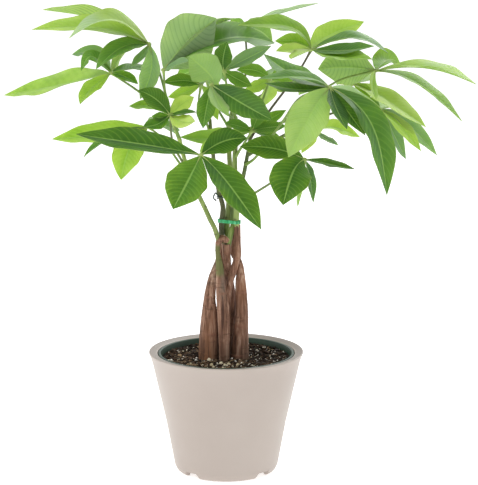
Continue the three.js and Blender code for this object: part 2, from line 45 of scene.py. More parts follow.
SEED = 20
TAU = 2 * math.pi

# The camera, and the view that the plant is laid out in
EYE = np.array([13.0, -1624.0, 520.0])
AIM = np.array([13.0, 0.0, 233.7])
AIM_UP = 239.5
SENSOR = 36.0
PICTURE = (478, 485)
SKY = np.array([0.0, 0.0, 1.0])
SLANT = np.array([0.3, 0.9, 0.2])
RIGHTWARD = np.array([1.0, 0.0, 0.0])
LOOK = (AIM - EYE) / np.linalg.norm(AIM - EYE)
UPWARD = np.cross(RIGHTWARD, LOOK)

# Outer pot
POT_HEIGHT = 123.2
POT_RIM = 77.9
POT_MOUTH = 69.3
POT_FOOT = 47.6
POT_WALL_LINE = [[52.6, 6], [60.6, 50], [75.4, 116]]
POT_SIDES = 320
POT_ROUNDING = 0.9
FLARE_START = 0.12
FLARE_BULGE = (0.3, 1.0)
FLARE_POINTS = 10
RIM_BAND = 1.6
POT_WALL = 2.0
POT_FLOOR = 9.0
FOOT_WIDTH = 2.6
FOOT_FLARE = 2.9
FOOT_STEP = 1.6
FLOOR_THICKNESS = 2.2
RIM_DROP = 1.9
RIM_THICKNESS = 2.2
RIM_EDGE = 0.7
NOTCHES = 4
NOTCH_WIDTH = 17.0
NOTCH_HEIGHT = 6.4
NOTCH_EASE_IN = 2.0
NOTCH_EASE_OUT = 0.6
NOTCH_SINK = 0.15
FOOT_RING = 1.4
NOTCH_TURN = math.radians(47)

# Nursery pot
LINER_TOP = 121.3
LINER_LIP = 68.7
LINER_RADIUS = 67.2
LINER_FLOOR_RADIUS = 44.0
LINER_WALL = 1.0
LINER_BOTTOM = 9.3
LIP_DROP = 3.0
LINER_SIDES = 160
LINER_ROUNDING = 0.5
DRAINS = 6
DRAIN_RADIUS = 3.5
DRAIN_CIRCLE = 32.0
DRAIN_REACH = 3.0
DRAIN_SIDES = 20

# Potting mix
SOIL_TOP = 116
SOIL_BOTTOM = 10.6
SOIL_FOOT = 42.7
SOIL_EDGE = 64.3
SOIL_HOLE = 0.8
SOIL_SIDES = 300
CRUST_ROWS = 90
SOIL_WALL_ROWS = 12
MOUND_HEIGHT = 0.8
MOUND_WIDTH = 0.35
RING_DEPTH = 1.1
RING_PLACE = 0.6
RING_WIDTH = 0.22
LUMP_HEIGHT = 0.55
SMALL_LUMP_HEIGHT = 0.3
EDGE_CALM = 0.6
BALL = np.array([1.0, 0.9, 1.0])
FLAKE = np.array([1.0, 0.55, 0.22])
ROOTS = 70
ROOT_ROWS = 9
ROOT_RADII = (0.42, 0.16)
ROOT_REACHES = (4, 11)
ROOT_BEND = 0.9
ROOT_ARCH = 1.1
ROOT_SIDES = 5

# Ties
TIE_UP = 260.5
TIE_HEIGHT = 4.0
TIE_THICKNESS = 0.7
TIE_WAVER = 0.25
TIE_SIDES = 16
TIE_SQUARENESS = 0.6
TIE_STEMS = [[1, 3.1], [2, 3.2], [3, 3.3], [4, 2.9]]
WIRE_RADIUS = 0.75
WIRE_STEM = 1
WIRE_UP = 283
WIRE_STEM_RADIUS = 2.7
WIRE_SLACK = 0.2
WIRE_POINTS = 8
WIRE_START = -0.35 * math.pi
WIRE_TURN = 1.72 * math.pi
WIRE_RISE = 0.35
WIRE_ROWS = 110
WIRE_SIDES = 12
END_RINGS = 3
POLE_GAP = 0.12
WIRE_TAIL = [[-8, 286, 3], [-10.5, 289, 4], [-12.5, 284, 4.5], [-10, 281.5, 5.5]]
GAP = 0.3

# Blades
BLADE_ROWS = 44
HALF_COLUMNS = 8
EDGE_CROWDING = 1.35
BLADE_SHARE = 0.37
BLADE_FOLD = math.tan(math.radians(12))
FOLD_SOFTNESS = 0.1
KNEE_NEAR = 0.92
KNEE_FAR = 0.55
MIDDLE_DEPTH = 0.58
OUTWARD_LEAN = 0.3
OUTLINE_SKEW = 1.08
OUTLINE_FULLNESS = 0.95
STALK_WIDTH = 1.8
TIP_WIDTH = 0.5
WIDTH_SPARE = 1.02
SIDE_VEINS = 15.0
VEIN_SLANT = 0.17
VEIN_CURVE = 1.25
HALF_SWELL = 0.05
PILLOW_HEIGHT = 0.09
EDGE_WAVE = 0.05
LEFT_WAVES = 2.3
RIGHT_WAVES = 2.7
NICKS = 4
NICK_DEPTH = 0.03
RIB_WIDTH = 0.05
RIB_HEIGHT = 0.5
GROOVE_DEPTH = 0.12
EDGE_THICKNESS = 0.32
MIDDLE_THICKENING = 0.2
# Where a bloom below nought, partly a painted sheen, starts on the blade and where it is full
BLOOM_AND_SHEEN_STARTS = 0.5
BLOOM_AND_SHEEN_FULL = 0.75

# Leaf stalks and hubs
LEAFLET_STALK_RADII = (1.15, 0.3)
LEAFLET_STALK_AGE = 0.12
LEAFLET_STALK_SWELLING = 0.7
LEAFLET_STALK_SIDES = 8
LEAFLET_STALK_DROP = 0.3
HUB_ROWS = 9
HUB_SIDES = 18
HUB_RADIUS = 2.3
HUB_LOBE_HEIGHT = 0.22
HUB_LOBES = 5
HUB_FLATNESS = 0.85
HUB_TONE = (0.15, 0.8, 0.5)
PETIOLE_RADIUS = 0.95
PETIOLE_GROWTH = 0.4
PETIOLE_SIDES = 10
HUB_SWELLING = 0.65
HUB_SWELLING_LENGTH = 5
FOOT_SWELLING = 0.7
FOOT_SWELLING_LENGTH = 6

# Bark and stems. The cut face and the bud list, ring by ring, the share of the stem's width, how far the ring
# lies beyond the stem's end, and for the cut face how far the wood shows, which above 1.3 also darkens the
# middle with painted shade, as in a hollow.
TRUNK_ROWS = 170
TRUNK_SIDES = 56
SWELL_SHARE = 0.035
FURROWS = 7
FURROW_DEPTH = 0.28
FINE_FURROWS = 17
FINE_DEPTH = 0.12
RING_RISE = 2.2
SCAR_RIM = 0.55
CUT_FACE = [[0.97, 0.25, 0.3], [0.9, 0.35, 1.0], [0.7, 0.1, 1.4], [0.42, -0.2, 1.9], [0.3, -1.1, 2.0],
            [0.12, -1.6, 2.0]]
SHOOT_ROWS = 150
SHOOT_SIDES = 22
SCAR_SPACING = 13
SCAR_SIZE = 1.35
GOLDEN_TURN = 137.5
COLLAR = 0.5
BUD = [[0.9, 0.8], [0.66, 1.7], [0.3, 2.5]]

# Studio, in metres. Each share of the surroundings' light has an axis, where along it the share starts and is
# done, and its value at both. A lamp has its name, place, width and power.
FLOOR_HALF = 30.0
LAMP_AIM = (0, 0, 0.25)
LIGHT_SHARES = [["Z", 1.0, 0.05, 0.5, 1.0], ["Y", -1.0, 0.2, 0.62, 1.0]]
LAMPS = [["key", (-1.4, -1.1, 2.2), 1.5, 23], ["fill", (1.9, -2.2, 1.0), 1.8, 6],
         ["back", (0.9, 2.0, 1.9), 1.8, 26]]

# Trunks and shoots: [across, up, towards, radius] along each, from the soil up
TRUNKS = [
    [[-2, 104, 13, 6], [-1.8, 130, 13.5, 5.6], [-2, 153, 13, 6], [-3.2, 176, 12, 6.2], [-5.4, 196, 11, 4.8],
     [-6, 207, 10.5, 4.2], [-6.4, 214, 10.3, 3.9], [-6.9, 220, 10, 3.4], [-8.1, 228, 9.7, 2.5],
     [-8.2, 236, 9.5, 2.6], [-7, 240.6, 9.2, 3.3], [-4.4, 243.6, 8.6, 3.6], [-1.2, 243, 8, 3.3],
     [1.8, 241, 7.4, 2.6]],
    [[-17.5, 104, 4, 10.5], [-17.2, 133, 4, 10.2], [-16.8, 152, 4, 9.6], [-16.4, 170, 3.5, 8],
     [-16.3, 184, 3, 6.1], [-13.6, 201, 1, 5.2], [-9.2, 213.5, -3.4, 5], [-6.6, 221, -7.5, 4.5],
     [-4.8, 229, -11, 4.2], [-3, 241, -12, 4]],
    [[13.5, 104, 2, 10], [13.5, 130, 2, 9.6], [14.7, 153, 1, 7.8], [16, 170, 0, 6.3], [15.2, 187, -1, 6.1],
     [14.7, 199, -2, 5.4], [14.5, 208, -3.2, 4.5], [13.6, 216, -5, 4], [11.2, 223, -7.4, 3.8],
     [8.2, 228.5, -9.6, 3.8], [7.4, 237, -10.8, 3.5], [7.2, 246, -11.6, 3.3], [8, 253, -11.4, 3.1]],
    [[-9, 104, -14, 6.2], [-8, 135, -13, 6], [-5, 155, -10.5, 5.5], [-0.5, 176, -5.2, 4.6],
     [2.2, 192, -0.5, 3.8], [4.5, 202, 2.8, 3.4], [6.6, 208.5, 4.2, 3.8], [8.8, 216, 5, 3.7],
     [10.4, 221, 4.6, 3.7], [11.4, 227, 4.2, 4.1], [11.6, 234, 3.4, 3.6], [11.5, 243, 2.6, 3.4],
     [11.4, 257, 2.2, 3.2]],
    [[7, 104, -20, 6.8], [6, 135, -19.5, 6.4], [6, 153, -18, 5.6], [6, 176, -14, 5], [3.4, 196, -11.4, 5.4],
     [2, 206, -8.6, 5], [1.1, 216, -3.8, 4.5], [0.8, 224, 0, 4.3], [0.3, 231, 1.2, 4.4],
     [0.4, 238, 1.8, 4.4]],
]
SHOOTS = [
    [[-7.4, 240, 9.2, 2.4], [-9.4, 248, 9, 2.6], [-11.6, 254.5, 9, 2.5], [-16.6, 264, 9, 2.5],
     [-28.5, 290, 8, 2.3], [-36, 307, 7, 2.2], [-42, 325, 6, 2.1], [-47.5, 345, 5, 2], [-52, 357, 5, 1.9],
     [-56, 371, 4, 1.8], [-60, 384, 4, 1.6]],
    [[-3.4, 236, -11.6, 2.8], [-4.4, 250, -8, 2.9], [-4.6, 257, -5.6, 2.9], [-3.4, 268, -3.6, 2.8],
     [-3.4, 276, -3, 2.6], [-7, 290, -2, 2.3], [-10, 306, -1, 2.2], [-12.5, 325, 0, 2.1],
     [-14.5, 345, 0, 1.9], [-16, 362, -2, 1.6]],
    [[11.4, 254, 2.4, 2.7], [10.4, 261, 3, 3.1], [10.4, 271, 3.4, 3.1], [9.5, 290, 3, 2.8], [9, 307, 3, 2.6],
     [9, 327, 2, 2.5], [10, 345, 2, 2.2], [10, 364, 1, 1.8]],
    [[4.6, 239, -11.4, 2.9], [1.2, 248, -11.8, 2.9], [0.7, 256, -11.4, 3.4], [1.7, 263, -10.4, 3.3],
     [2.6, 272, -10.2, 3.4], [3.6, 290, -11, 3.2], [4, 315, -14, 2.7], [3, 335, -18, 2.3], [4, 355, -24, 2],
     [6, 374, -32, 1.7]],
    [[2.6, 236, 1.2, 2.3], [3.8, 244, 0.6, 2.7], [5.6, 251, 0, 2.8], [7.2, 258, -2.8, 2.8],
     [7, 265, -4.4, 2.9], [7.6, 272, -5.6, 2.8], [12.2, 287, -6, 2.5], [17, 305, -6, 2.2], [21, 324, -4, 2],
     [23, 337, -3, 1.8], [24.5, 350, -4, 1.6]],
]

# Where each trunk turns from bark to green wood and back: the heights seen at which both start and are done
TRUNK_GREEN = [[206, 212, 236, 241], [400, 410, 420, 430], [400, 410, 420, 430], [400, 410, 420, 430],
               [400, 410, 420, 430]]
# How brown each shoot is at its foot and at its top, below nought for young wood, and how
# dark its painted shade makes it at both
SHOOT_BROWN = [[0.3, -0.6, 0.2, 0.0], [0.6, 0.2, 0.95, 0.6], [0.15, -0.1, 0.0, 0.0], [0.2, 0.1, 0.1, 0.1],
               [0.0, 0.0, 0.0, 0.75]]
# Pruning scars: trunk, height seen, turn from the right towards the eye in degrees, size
SCARS = [
    [0, 214, 160, 1.3], [0, 191, 75, 1.6], [0, 241, 110, 2.4], [1, 150, 60, 2.2], [1, 186, 110, 1.8],
    [2, 190, 80, 2.2], [2, 157, 95, 2.6], [2, 128, 120, 1.8], [2, 207, 60, 1.4],
    [3, 225, 85, 1.8], [3, 213, 110, 1.3], [4, 230, 100, 1.6], [4, 170, 250, 2], [1, 225, 265, 1.6],
]

# Pebbles on the mix: [across, up, size]
PEBBLES = [
    [-19.5, 124, 2.6], [-17, 120.5, 2.2], [-14.5, 117, 2], [-5, 117.5, 2.3], [-1, 116.5, 1.9],
    [2.5, 117.5, 2.2], [5.5, 116, 1.8], [-3, 114, 1.7], [11.5, 116.5, 1.8], [-12.5, 114.5, 1.5],
    [-35.5, 118, 1.3],
    [-56.5, 123.5, 1.4], [-43, 130, 1.2], [-21, 126.5, 1.6], [27, 119, 1.3], [34, 125, 1.2],
]

# How old each leaf's stalk is, 0 yellow-green to 1 purplish, where it isn't the usual
USUAL_STALK_AGE = 0.3
STALK_AGE = {3: 0.6, 4: 0.55, 9: 0.85, 10: 0.35, 12: 0.5, 17: 0.6, 18: 0.6}

# Leaves. hub is where the leaflets meet, joins is the shoot and the height on it where the leaf stalk grows,
# stalk lists the places between. Each leaflet is [middle across, middle up, tip across, tip up, tip towards,
# width as seen, youth, bloom]: a width below zero is a leaflet seen from below, youth goes from an old dark
# blade to a young yellow-green one and also holds painted shade and light, lower for leaflets in shade,
# higher for lit ones, and bloom is how silvery it is, partly the blade's own tint and partly a painted sheen,
# below nought for the outer half only.
LEAVES = [
    {"hub": [-77, 438, 10], "joins": [0, 378], "stalk": [[-64.5, 403, 6]], "leaflets": [
        [-134.5, 459, -194, 452.5, 30, 15, 0.75, 0], [-119, 466.5, -157, 444, 62, 11, 0.75, -1],
        [-126, 468.5, -183, 472.5, -60, -9, 0.75, 0], [-108, 435, -130, 413, 55, 16, 0.35, 0.1],
        [-87, 424, -94, 416, 35, 8, 0.35, 0.5], [-76, 410, -86, 383, 12, 19, 0.4, 0.5]]},
    {"hub": [-115, 409, -20], "joins": [0, 365], "stalk": [[-88, 391, -12]], "leaflets": [
        [-171, 401, -222, 387, -100, 17, 0.7, 0], [-137, 393, -146, 378, 15, 14, 0.7, 0],
        [-100, 406, -88, 398, 0, 10, 0.4, 0], [-93, 415.5, -72, 414, -60, 7, 0.25, 0],
        [-108, 425, -97, 435, -65, -10, 0.85, 0], [-134.5, 431, -154, 427.5, -65, 13, 0.35, 0.3],
        [-136, 427, -145, 411.5, -30, 11, 0.4, 0]]},
    {"hub": [-56, 367, 32], "joins": [0, 309], "stalk": [[-53, 339, 20]], "leaflets": [
        [-71, 384, -87.5, 392, 25, 20, 0.2, 0], [-77, 378, -97, 376, -5, 11, 0.6, 0],
        [-43, 379, -32, 385, 15, 16, 0.85, 0], [-43, 370, -30, 370, 55, 5, 0.2, 0],
        [-43, 361, -31, 361, 70, 14, 0.9, 0], [-71, 358, -82.5, 356, 65, 12, 0.25, 0],
        [-65, 364.5, -74, 366, 45, 11, 0.4, 0]]},
    {"hub": [-25, 327, 95], "joins": [1, 297], "stalk": [[-15, 311, 55]], "leaflets": [
        [-92, 343, -150, 348, 85, 21, 0.1, 0], [-40.5, 298, -53, 273, 135, 38, 0.25, 0],
        [8, 295, 35, 253, 144.8, 27, 0.15, 0], [0, 342, 21, 344, 75, 24, 0.05, 0],
        [-16, 341, -8, 350, 55, 8, 0.7, 0]]},
    {"hub": [-78, 355, -35], "joins": [0, 302], "stalk": [[-65, 345, -25], [-48, 321, -6]], "leaflets": [
        [-126, 351, -174, 343, -50, 20, 0.7, 0], [-121, 344, -142.5, 325, -10, 8, 0.3, 0],
        [-98, 331, -105, 302, -5, 30, 0.7, 0], [-62, 358, -46, 352, -100, 14, 0.4, 0]]},
    {"hub": [-62.5, 412, 35], "joins": [0, 345], "stalk": [[-60, 385, 20]], "leaflets": [
        [-41, 438, -10, 464, 0, -53, 0.45, 0.5], [-49, 419, -38, 421, 75, 7, 0.2, 0.5],
        [2, 449, 49, 439, -80, 26, 0.35, 0], [-22, 456, 10, 464, -60, 5, 0.6, 0.5]]},
    {"hub": [-14.5, 397, 65], "joins": [2, 360], "stalk": [[-1, 372, 30]], "leaflets": [
        [-20, 374, -23, 354, 95, 18, 0.3, 0], [-17, 409, -37, 426, 50, 32, 0.55, 0.4],
        [18, 379, 46, 362, 112, 26, 0.2, 0], [-7, 381, 2, 366, 105, 14, 0.6, 0.3],
        [4, 391, 21, 388, 80, 13, 0.25, 0]]},
    {"hub": [-2, 411, 25], "joins": [2, 362], "stalk": [[3, 385, 14]], "leaflets": [
        [-3, 425, 1, 440, 42, 18, 0.1, 0], [20, 424.5, 45, 436, 24, 14, 0.2, 0.3],
        [10, 404, 26, 396, 20, 14, 0.35, 0]]},
    {"hub": [85.5, 432.5, -30], "joins": [4, 343], "stalk": [[73, 411, -28], [44, 372, -24]], "leaflets": [
        [60, 459, 12, 457, -25, 14, 0.6, 0], [68, 442, 49, 441, -60, 15, 0.65, 0],
        [67, 434, 50, 431, 0, 11, 0.85, 0], [74, 430, 65, 423.5, 25, 6, 0.8, 0],
        [106, 450, 138, 460.5, -80, 23, 0.75, 0], [117, 434, 148, 436, 15, 11, 0.3, 0],
        [118, 428, 146, 423, 30, 12, 0.6, 0.1], [132, 447, 162, 429, -40, 7, 0.3, -0.5]]},
    {"hub": [150, 411.5, -10], "joins": [4, 336], "stalk": [[110, 400, -20], [60, 362, -26]], "leaflets": [
        [119, 415.5, 92, 413, -40, -38, 0.55, 0.4], [199, 398, 236, 361, 20, 8, 0.6, 0],
        [207, 417.5, 250, 398, 60, 7, 0.7, 0], [163, 424, 174, 419, -75, 20, 0.55, 0],
        [148, 397, 150.5, 382.5, 25, 7, 0.7, 0]]},
    {"hub": [104, 394.5, 85], "joins": [4, 317], "stalk": [[74, 384, 62], [57, 361, 45], [28, 323, 5]],
     "leaflets": [
        [84, 368, 62.5, 325, 135, 36, 0.65, 0.35], [112, 374, 121, 353, 125, 13, 0.1, 0],
        [124, 370, 139, 347, 118, 17, 0.1, 0], [152, 353, 161, 287, 110, 24, 0.25, 0],
        [127, 385, 149, 370, 75, 7, 0.3, 0.2], [131, 388, 155, 373.5, 45, 8, 0.5, 0.3],
        [72, 408, 32, 403, 92, 8, 0.35, 0.1], [70, 395, 39, 399, 60, 10, 0.15, 0.1],
        [66, 411, 38, 428, 35, 16, 0.3, 0.1]]},
    {"hub": [78.5, 322.5, 75], "joins": [4, 276], "stalk": [[48, 301, 38]], "leaflets": [
        [65, 307, 57, 277, 122, 38, 0.1, 0], [46, 335, 14, 335.5, 48, 23, 0.15, 0],
        [102, 320, 129, 313, 90, 7, 0.15, 0], [86, 302, 87.5, 279.5, 62, 8, 0.2, 0],
        [75, 297, 72, 275, 45, 6, 0.6, 0]]},
    {"hub": [91, 351, -20], "joins": [4, 330], "stalk": [[56, 345, -16]], "leaflets": [
        [111, 356, 134, 345, -50, 12, 0.85, 0], [83, 339, 75.5, 329, 5, 9, 0.9, 0],
        [102, 343, 112, 337, 10, 6, 0.3, 0], [84, 364, 80, 380, 5, 12, 0.85, 0],
        [96, 365, 101, 380, -10, 12, 0.85, 0]]},
    {"hub": [26, 351, 22], "joins": [2, 325], "stalk": [[19, 340, 12]], "leaflets": [
        [43, 355, 60, 356, 28, 12, 0.3, 0], [46, 345, 64, 334, 5, 10, 0.35, 0],
        [-14, 346, -46, 345, 24, 15, 0.6, 0.2], [12, 357, -1, 359, 44, 11, 0.4, 0],
        [32, 367, 37, 381, 28, 14, 0.4, 0], [44, 364, 60, 372, 2, 12, 0.45, 0]]},
    {"hub": [-25, 397, 0], "joins": [1, 340], "stalk": [[-27, 378, 0], [-18, 355, 0]], "leaflets": [
        [-43, 402, -63, 399.5, 15, 13, 0.3, 0], [-43, 390, -58, 385, -15, 12, 0.75, 0],
        [-20, 405, -14, 411, -60, 14, 0.5, 0], [-14, 380, -8, 362, -22, 12, 0.7, 0]]},
    {"hub": [44, 403, 0], "joins": [4, 349], "stalk": [[36, 380, -2]], "leaflets": [
        [28, 412, 10.5, 412, 2, 13, 0.4, 0], [31, 396, 18, 391, 2, 12, 0.7, 0],
        [60, 408, 72, 402, -6, 18, 0.45, 0], [49, 411, 52, 415, -45, 14, 0.5, 0],
        [43, 388, 38, 376, -40, 15, 0.8, 0]]},
    {"hub": [19, 455, -76], "joins": [3, 370], "stalk": [[20, 410, -60]], "leaflets": [
        [54, 472, 92, 479, -60, 2, 0.6, 0.9], [38, 451, 46.5, 438, -146, 18, 0.5, 0],
        [9, 452, 1, 440, -130, 20, 0.5, 0]]},
    {"hub": [154, 373, -40], "joins": [4, 326], "stalk": [[118, 372, -45], [64, 350, -38]], "leaflets": [
        [188, 355, 211, 327, -62, 14, 0.45, 0.3], [178, 354, 195, 331, -30, 13, 0.75, 0],
        [170, 349, 180, 323, -85, 13, 0.3, 0.2], [166, 378, 172, 374, -125, 14, 0.6, 0],
        [137, 377, 120, 371, -90, 14, 0.5, 0]]},
    {"hub": [-20, 402, -80], "joins": [3, 350], "stalk": [[-12, 380, -55]], "leaflets": [
        [-36, 411, -50, 402, -132, 22, 0.5, 0], [-22, 418, -22, 416, -148, 24, 0.55, 0],
        [-6, 411, 6, 406, -138, 22, 0.45, 0], [-12, 394, -4, 386, -120, 16, 0.5, 0]]},
    {"hub": [59, 398, -75], "joins": [3, 362], "stalk": [[34, 386, -55]], "leaflets": [
        [72, 400, 82, 390, -140, 22, 0.5, 0], [56, 403, 54, 397, -148, 20, 0.45, 0],
        [43, 402, 31, 394, -128, 20, 0.55, 0]]},
    {"hub": [127, 398, -65], "joins": [3, 348], "stalk": [[84, 368, -60]], "leaflets": [
        [162, 385, 200, 355, -20, 17, 0.85, 0], [138, 392, 144, 384, -40, 12, 0.7, 0],
        [137, 406, 143, 410, -120, 16, 0.6, 0], [116, 404, 108, 404, -110, 16, 0.6, 0]]},
]

rng = np.random.default_rng(SEED)


# Laying out

def unit(vectors):
    """Each vector over its own length."""
    return vectors / np.linalg.norm(vectors, axis=-1, keepdims=True)


def seen(marks):
    """Places that are seen at [across, up] of the pot's axis and come `towards` the eye: on the line from the
    eye through the mark on the upright plane of the axis, at the share of it where y is minus `towards`."""
    marks = np.asarray(marks, dtype=float)
    on_plane = AIM + RIGHTWARD * (marks[..., 0:1] - AIM[0]) + UPWARD * (marks[..., 1:2] - AIM_UP)
    share = (-marks[..., 2:3] - EYE[1]) / (on_plane[..., 1:2] - EYE[1])
    return EYE + share * (on_plane - EYE)


def smooth_line(knots, count):
    """A centripetal Catmull-Rom line through the knots, at `count` places an even length apart. Columns past
    the third ride along, each blended by the same knot spacing. Between knots it is the cubic whose slopes
    are the weighted means of the chords on both sides."""
    knots = np.asarray(knots, dtype=float)
    padded = np.vstack([2 * knots[0] - knots[1], knots, 2 * knots[-1] - knots[-2]])
    gaps = np.sqrt(np.linalg.norm(np.diff(padded[:, :3], axis=0), axis=1))[:, None]
    chords = np.diff(padded, axis=0) / gaps
    skips = (padded[2:] - padded[:-2]) / (gaps[1:] + gaps[:-1])
    slopes = chords[:-1] - skips + chords[1:]
    place = np.linspace(0, len(knots) - 1, 60 * len(knots))
    piece = np.minimum(place.astype(int), len(knots) - 2)
    t = (place - piece)[:, None]
    a, b = knots[piece], knots[piece + 1]
    start, end = slopes[piece] * gaps[piece + 1], slopes[piece + 1] * gaps[piece + 1]
    line = a + t * (start + t * (3 * (b - a) - 2 * start - end + t * (2 * (a - b) + start + end)))
    return even(line, count)


def even(line, count):
    """The same line at `count` places an even length apart."""
    steps = np.linalg.norm(np.diff(line[:, :3], axis=0), axis=1)
    run = np.concatenate([[0], np.cumsum(steps)])
    wanted = np.linspace(0, run[-1], count)
    return np.stack([np.interp(wanted, run, column) for column in line.T], axis=1)


def headings(line):
    """Unit tangents of a line, from the difference of each place's neighbours."""
    return unit(np.gradient(line, axis=0))


def smoothstep(low, high, value):
    """0 below low, 1 above high, and 3t² - 2t³ between."""
    t = np.clip((value - low) / (high - low), 0, 1)
    return t * t * (3 - 2 * t)


def height_seen(up):
    """The height at which a place on the pot's axis is seen at `up`."""
    return seen([0, up, 0])[2]


def stem_line(rows, count):
    """A trunk's or shoot's middle line and its radius at `count` places."""
    knots = np.asarray(rows, dtype=float)
    line = smooth_line(np.hstack([seen(knots), knots[:, 3:]]), count)
    return line[:, :3], line[:, 3]


def on_shoot(index, up):
    """The place on a shoot that is as high as `up` is seen on the pot's axis."""
    line = stem_line(SHOOTS[index], 600)[0]
    return line[np.argmin(np.abs(line[:, 2] - height_seen(up)))]


# Shells: closed surfaces as arrays

def grid_quads(rows, columns, wrap):
    """The quads of a grid, each (r, c), (r, c+1), (r+1, c+1), (r+1, c), with c+1 back at 0 where it wraps."""
    row, column = np.meshgrid(np.arange(rows - 1), np.arange(columns - (not wrap)), indexing="ij")
    onward = (column + 1) % columns
    corners = [row * columns + column, row * columns + onward,
               (row + 1) * columns + onward, (row + 1) * columns + column]
    return np.stack(corners, axis=-1).reshape(-1, 4)


def volume(points, quads, tris):
    """Signed volume: a sixth of the sum of the corner products a · (b × c) over all triangles."""
    halves = np.vstack([quads[:, [0, 1, 2]], quads[:, [0, 2, 3]], tris])
    a, b, c = (points[halves[:, k]] for k in range(3))
    return np.einsum("ij,ij->", a, np.cross(b, c)) / 6


def shell(points, quads, tris=None, skin=0, **tags):
    """A closed surface that faces outwards, with the named values of its points in `tags`."""
    points = np.asarray(points, dtype=float)
    tris = np.zeros((0, 3), dtype=int) if tris is None else tris
    if volume(points - points.mean(axis=0), quads, tris) < 0:
        quads, tris = quads[:, ::-1], tris[:, ::-1]
    return {"points": points, "quads": quads, "tris": tris, "skin": skin, "tags": tags}


def tube(rings, skin=0, **tags):
    """A closed body from rings of points: quads between the rings, and a fan to the middle of each end ring.
    A tag is one row a ring, or one a point of each ring, and an end's middle takes its ring's mean."""
    rows, sides = rings.shape[:2]
    points = np.vstack([rings.reshape(-1, 3), rings[0].mean(axis=0), rings[-1].mean(axis=0)])
    side = np.arange(sides)
    onward = (side + 1) % sides
    first, last = rows * sides, rows * sides + 1
    far = (rows - 1) * sides
    tris = np.vstack([
        np.stack([np.full(sides, first), onward, side], axis=1),
        np.stack([np.full(sides, last), far + side, far + onward], axis=1)])
    spread = {}
    for name, value in tags.items():
        value = np.asarray(value, dtype=float)
        if value.ndim == 2:
            value = np.repeat(value[:, None, :], sides, axis=1)
        ends = [value[0].mean(axis=0), value[-1].mean(axis=0)]
        spread[name] = np.vstack([value.reshape(-1, 3), *ends])
    return shell(points, grid_quads(rows, sides, True), tris, skin, **spread)


def ring_frames(line):
    """Two unit vectors square to the line at each place. The first is the part of one fixed vector, the cross
    of the chord and SLANT, that is square to the line there, so the rings don't twist."""
    along = headings(line)
    chord = unit(line[-1] - line[0])
    fixed = unit(np.cross(chord, SLANT))
    first = unit(fixed - along * (along @ fixed)[:, None])
    return first, np.cross(along, first)


def rounds(line, radii, sides):
    """Rings of points round a line: middle + radius (first cos a + second sin a). radii is one number a ring,
    or one a point of each ring."""
    first, second = ring_frames(line)
    angle = np.linspace(0, TAU, sides, endpoint=False)
    radii = np.asarray(radii, dtype=float)
    if radii.ndim == 1:
        radii = np.repeat(radii[:, None], sides, axis=1)
    ways = (np.cos(angle)[None, :, None] * first[:, None] + np.sin(angle)[None, :, None] * second[:, None])
    return line[:, None] + ways * radii[..., None]


def closed_sheet(top, under, **tags):
    """A thin body between two grids of the same size: quads on both, and a band round their edges. A tag
    holds the top grid's values and then the under grid's."""
    rows, columns = top.shape[:2]
    quads = grid_quads(rows, columns, False)
    count = rows * columns
    numbers = np.arange(count).reshape(rows, columns)
    rim = np.concatenate([numbers[0, :-1], numbers[:-1, -1], numbers[-1, :0:-1], numbers[:0:-1, 0]])
    onward = np.roll(rim, -1)
    band = np.stack([rim, rim + count, onward + count, onward], axis=1)
    points = np.vstack([top.reshape(-1, 3), under.reshape(-1, 3)])
    return shell(points, np.vstack([quads, quads[:, ::-1] + count, band]), **tags)


def revolve(profile, sides):
    """A profile of (radius, height) from axis to axis, turned about Z: x = r cos a, y = r sin a."""
    profile = np.asarray(profile, dtype=float)
    angle = np.linspace(0, TAU, sides, endpoint=False)
    inner = profile[1:-1]
    rings = np.stack([inner[:, :1] * np.cos(angle), inner[:, :1] * np.sin(angle),
                      np.repeat(inner[:, 1:], sides, axis=1)], axis=-1)
    body = tube(rings)
    body["points"][-2:] = [[0, 0, profile[0, 1]], [0, 0, profile[-1, 1]]]
    return body


def rounded(profile, radius, steps):
    """A polyline whose corners are cut back by `radius`, or 45 % of a short side, and joined by the quadratic
    curve a(1-t)² + 2bt(1-t) + ct² through each corner b."""
    profile = np.asarray(profile, dtype=float)
    reach = np.minimum(np.linalg.norm(np.diff(profile, axis=0), axis=1) * 0.45, radius)[:, None]
    way = unit(np.diff(profile, axis=0))
    corner = profile[1:-1]
    before, after = corner - way[:-1] * reach[:-1], corner + way[1:] * reach[1:]
    t = np.linspace(0, 1, steps + 1)[None, :, None]
    bent = before[:, None] * (1 - t) ** 2 + 2 * corner[:, None] * t * (1 - t) + after[:, None] * t ** 2
    return np.vstack([profile[:1], bent.reshape(-1, 2), profile[-1:]])


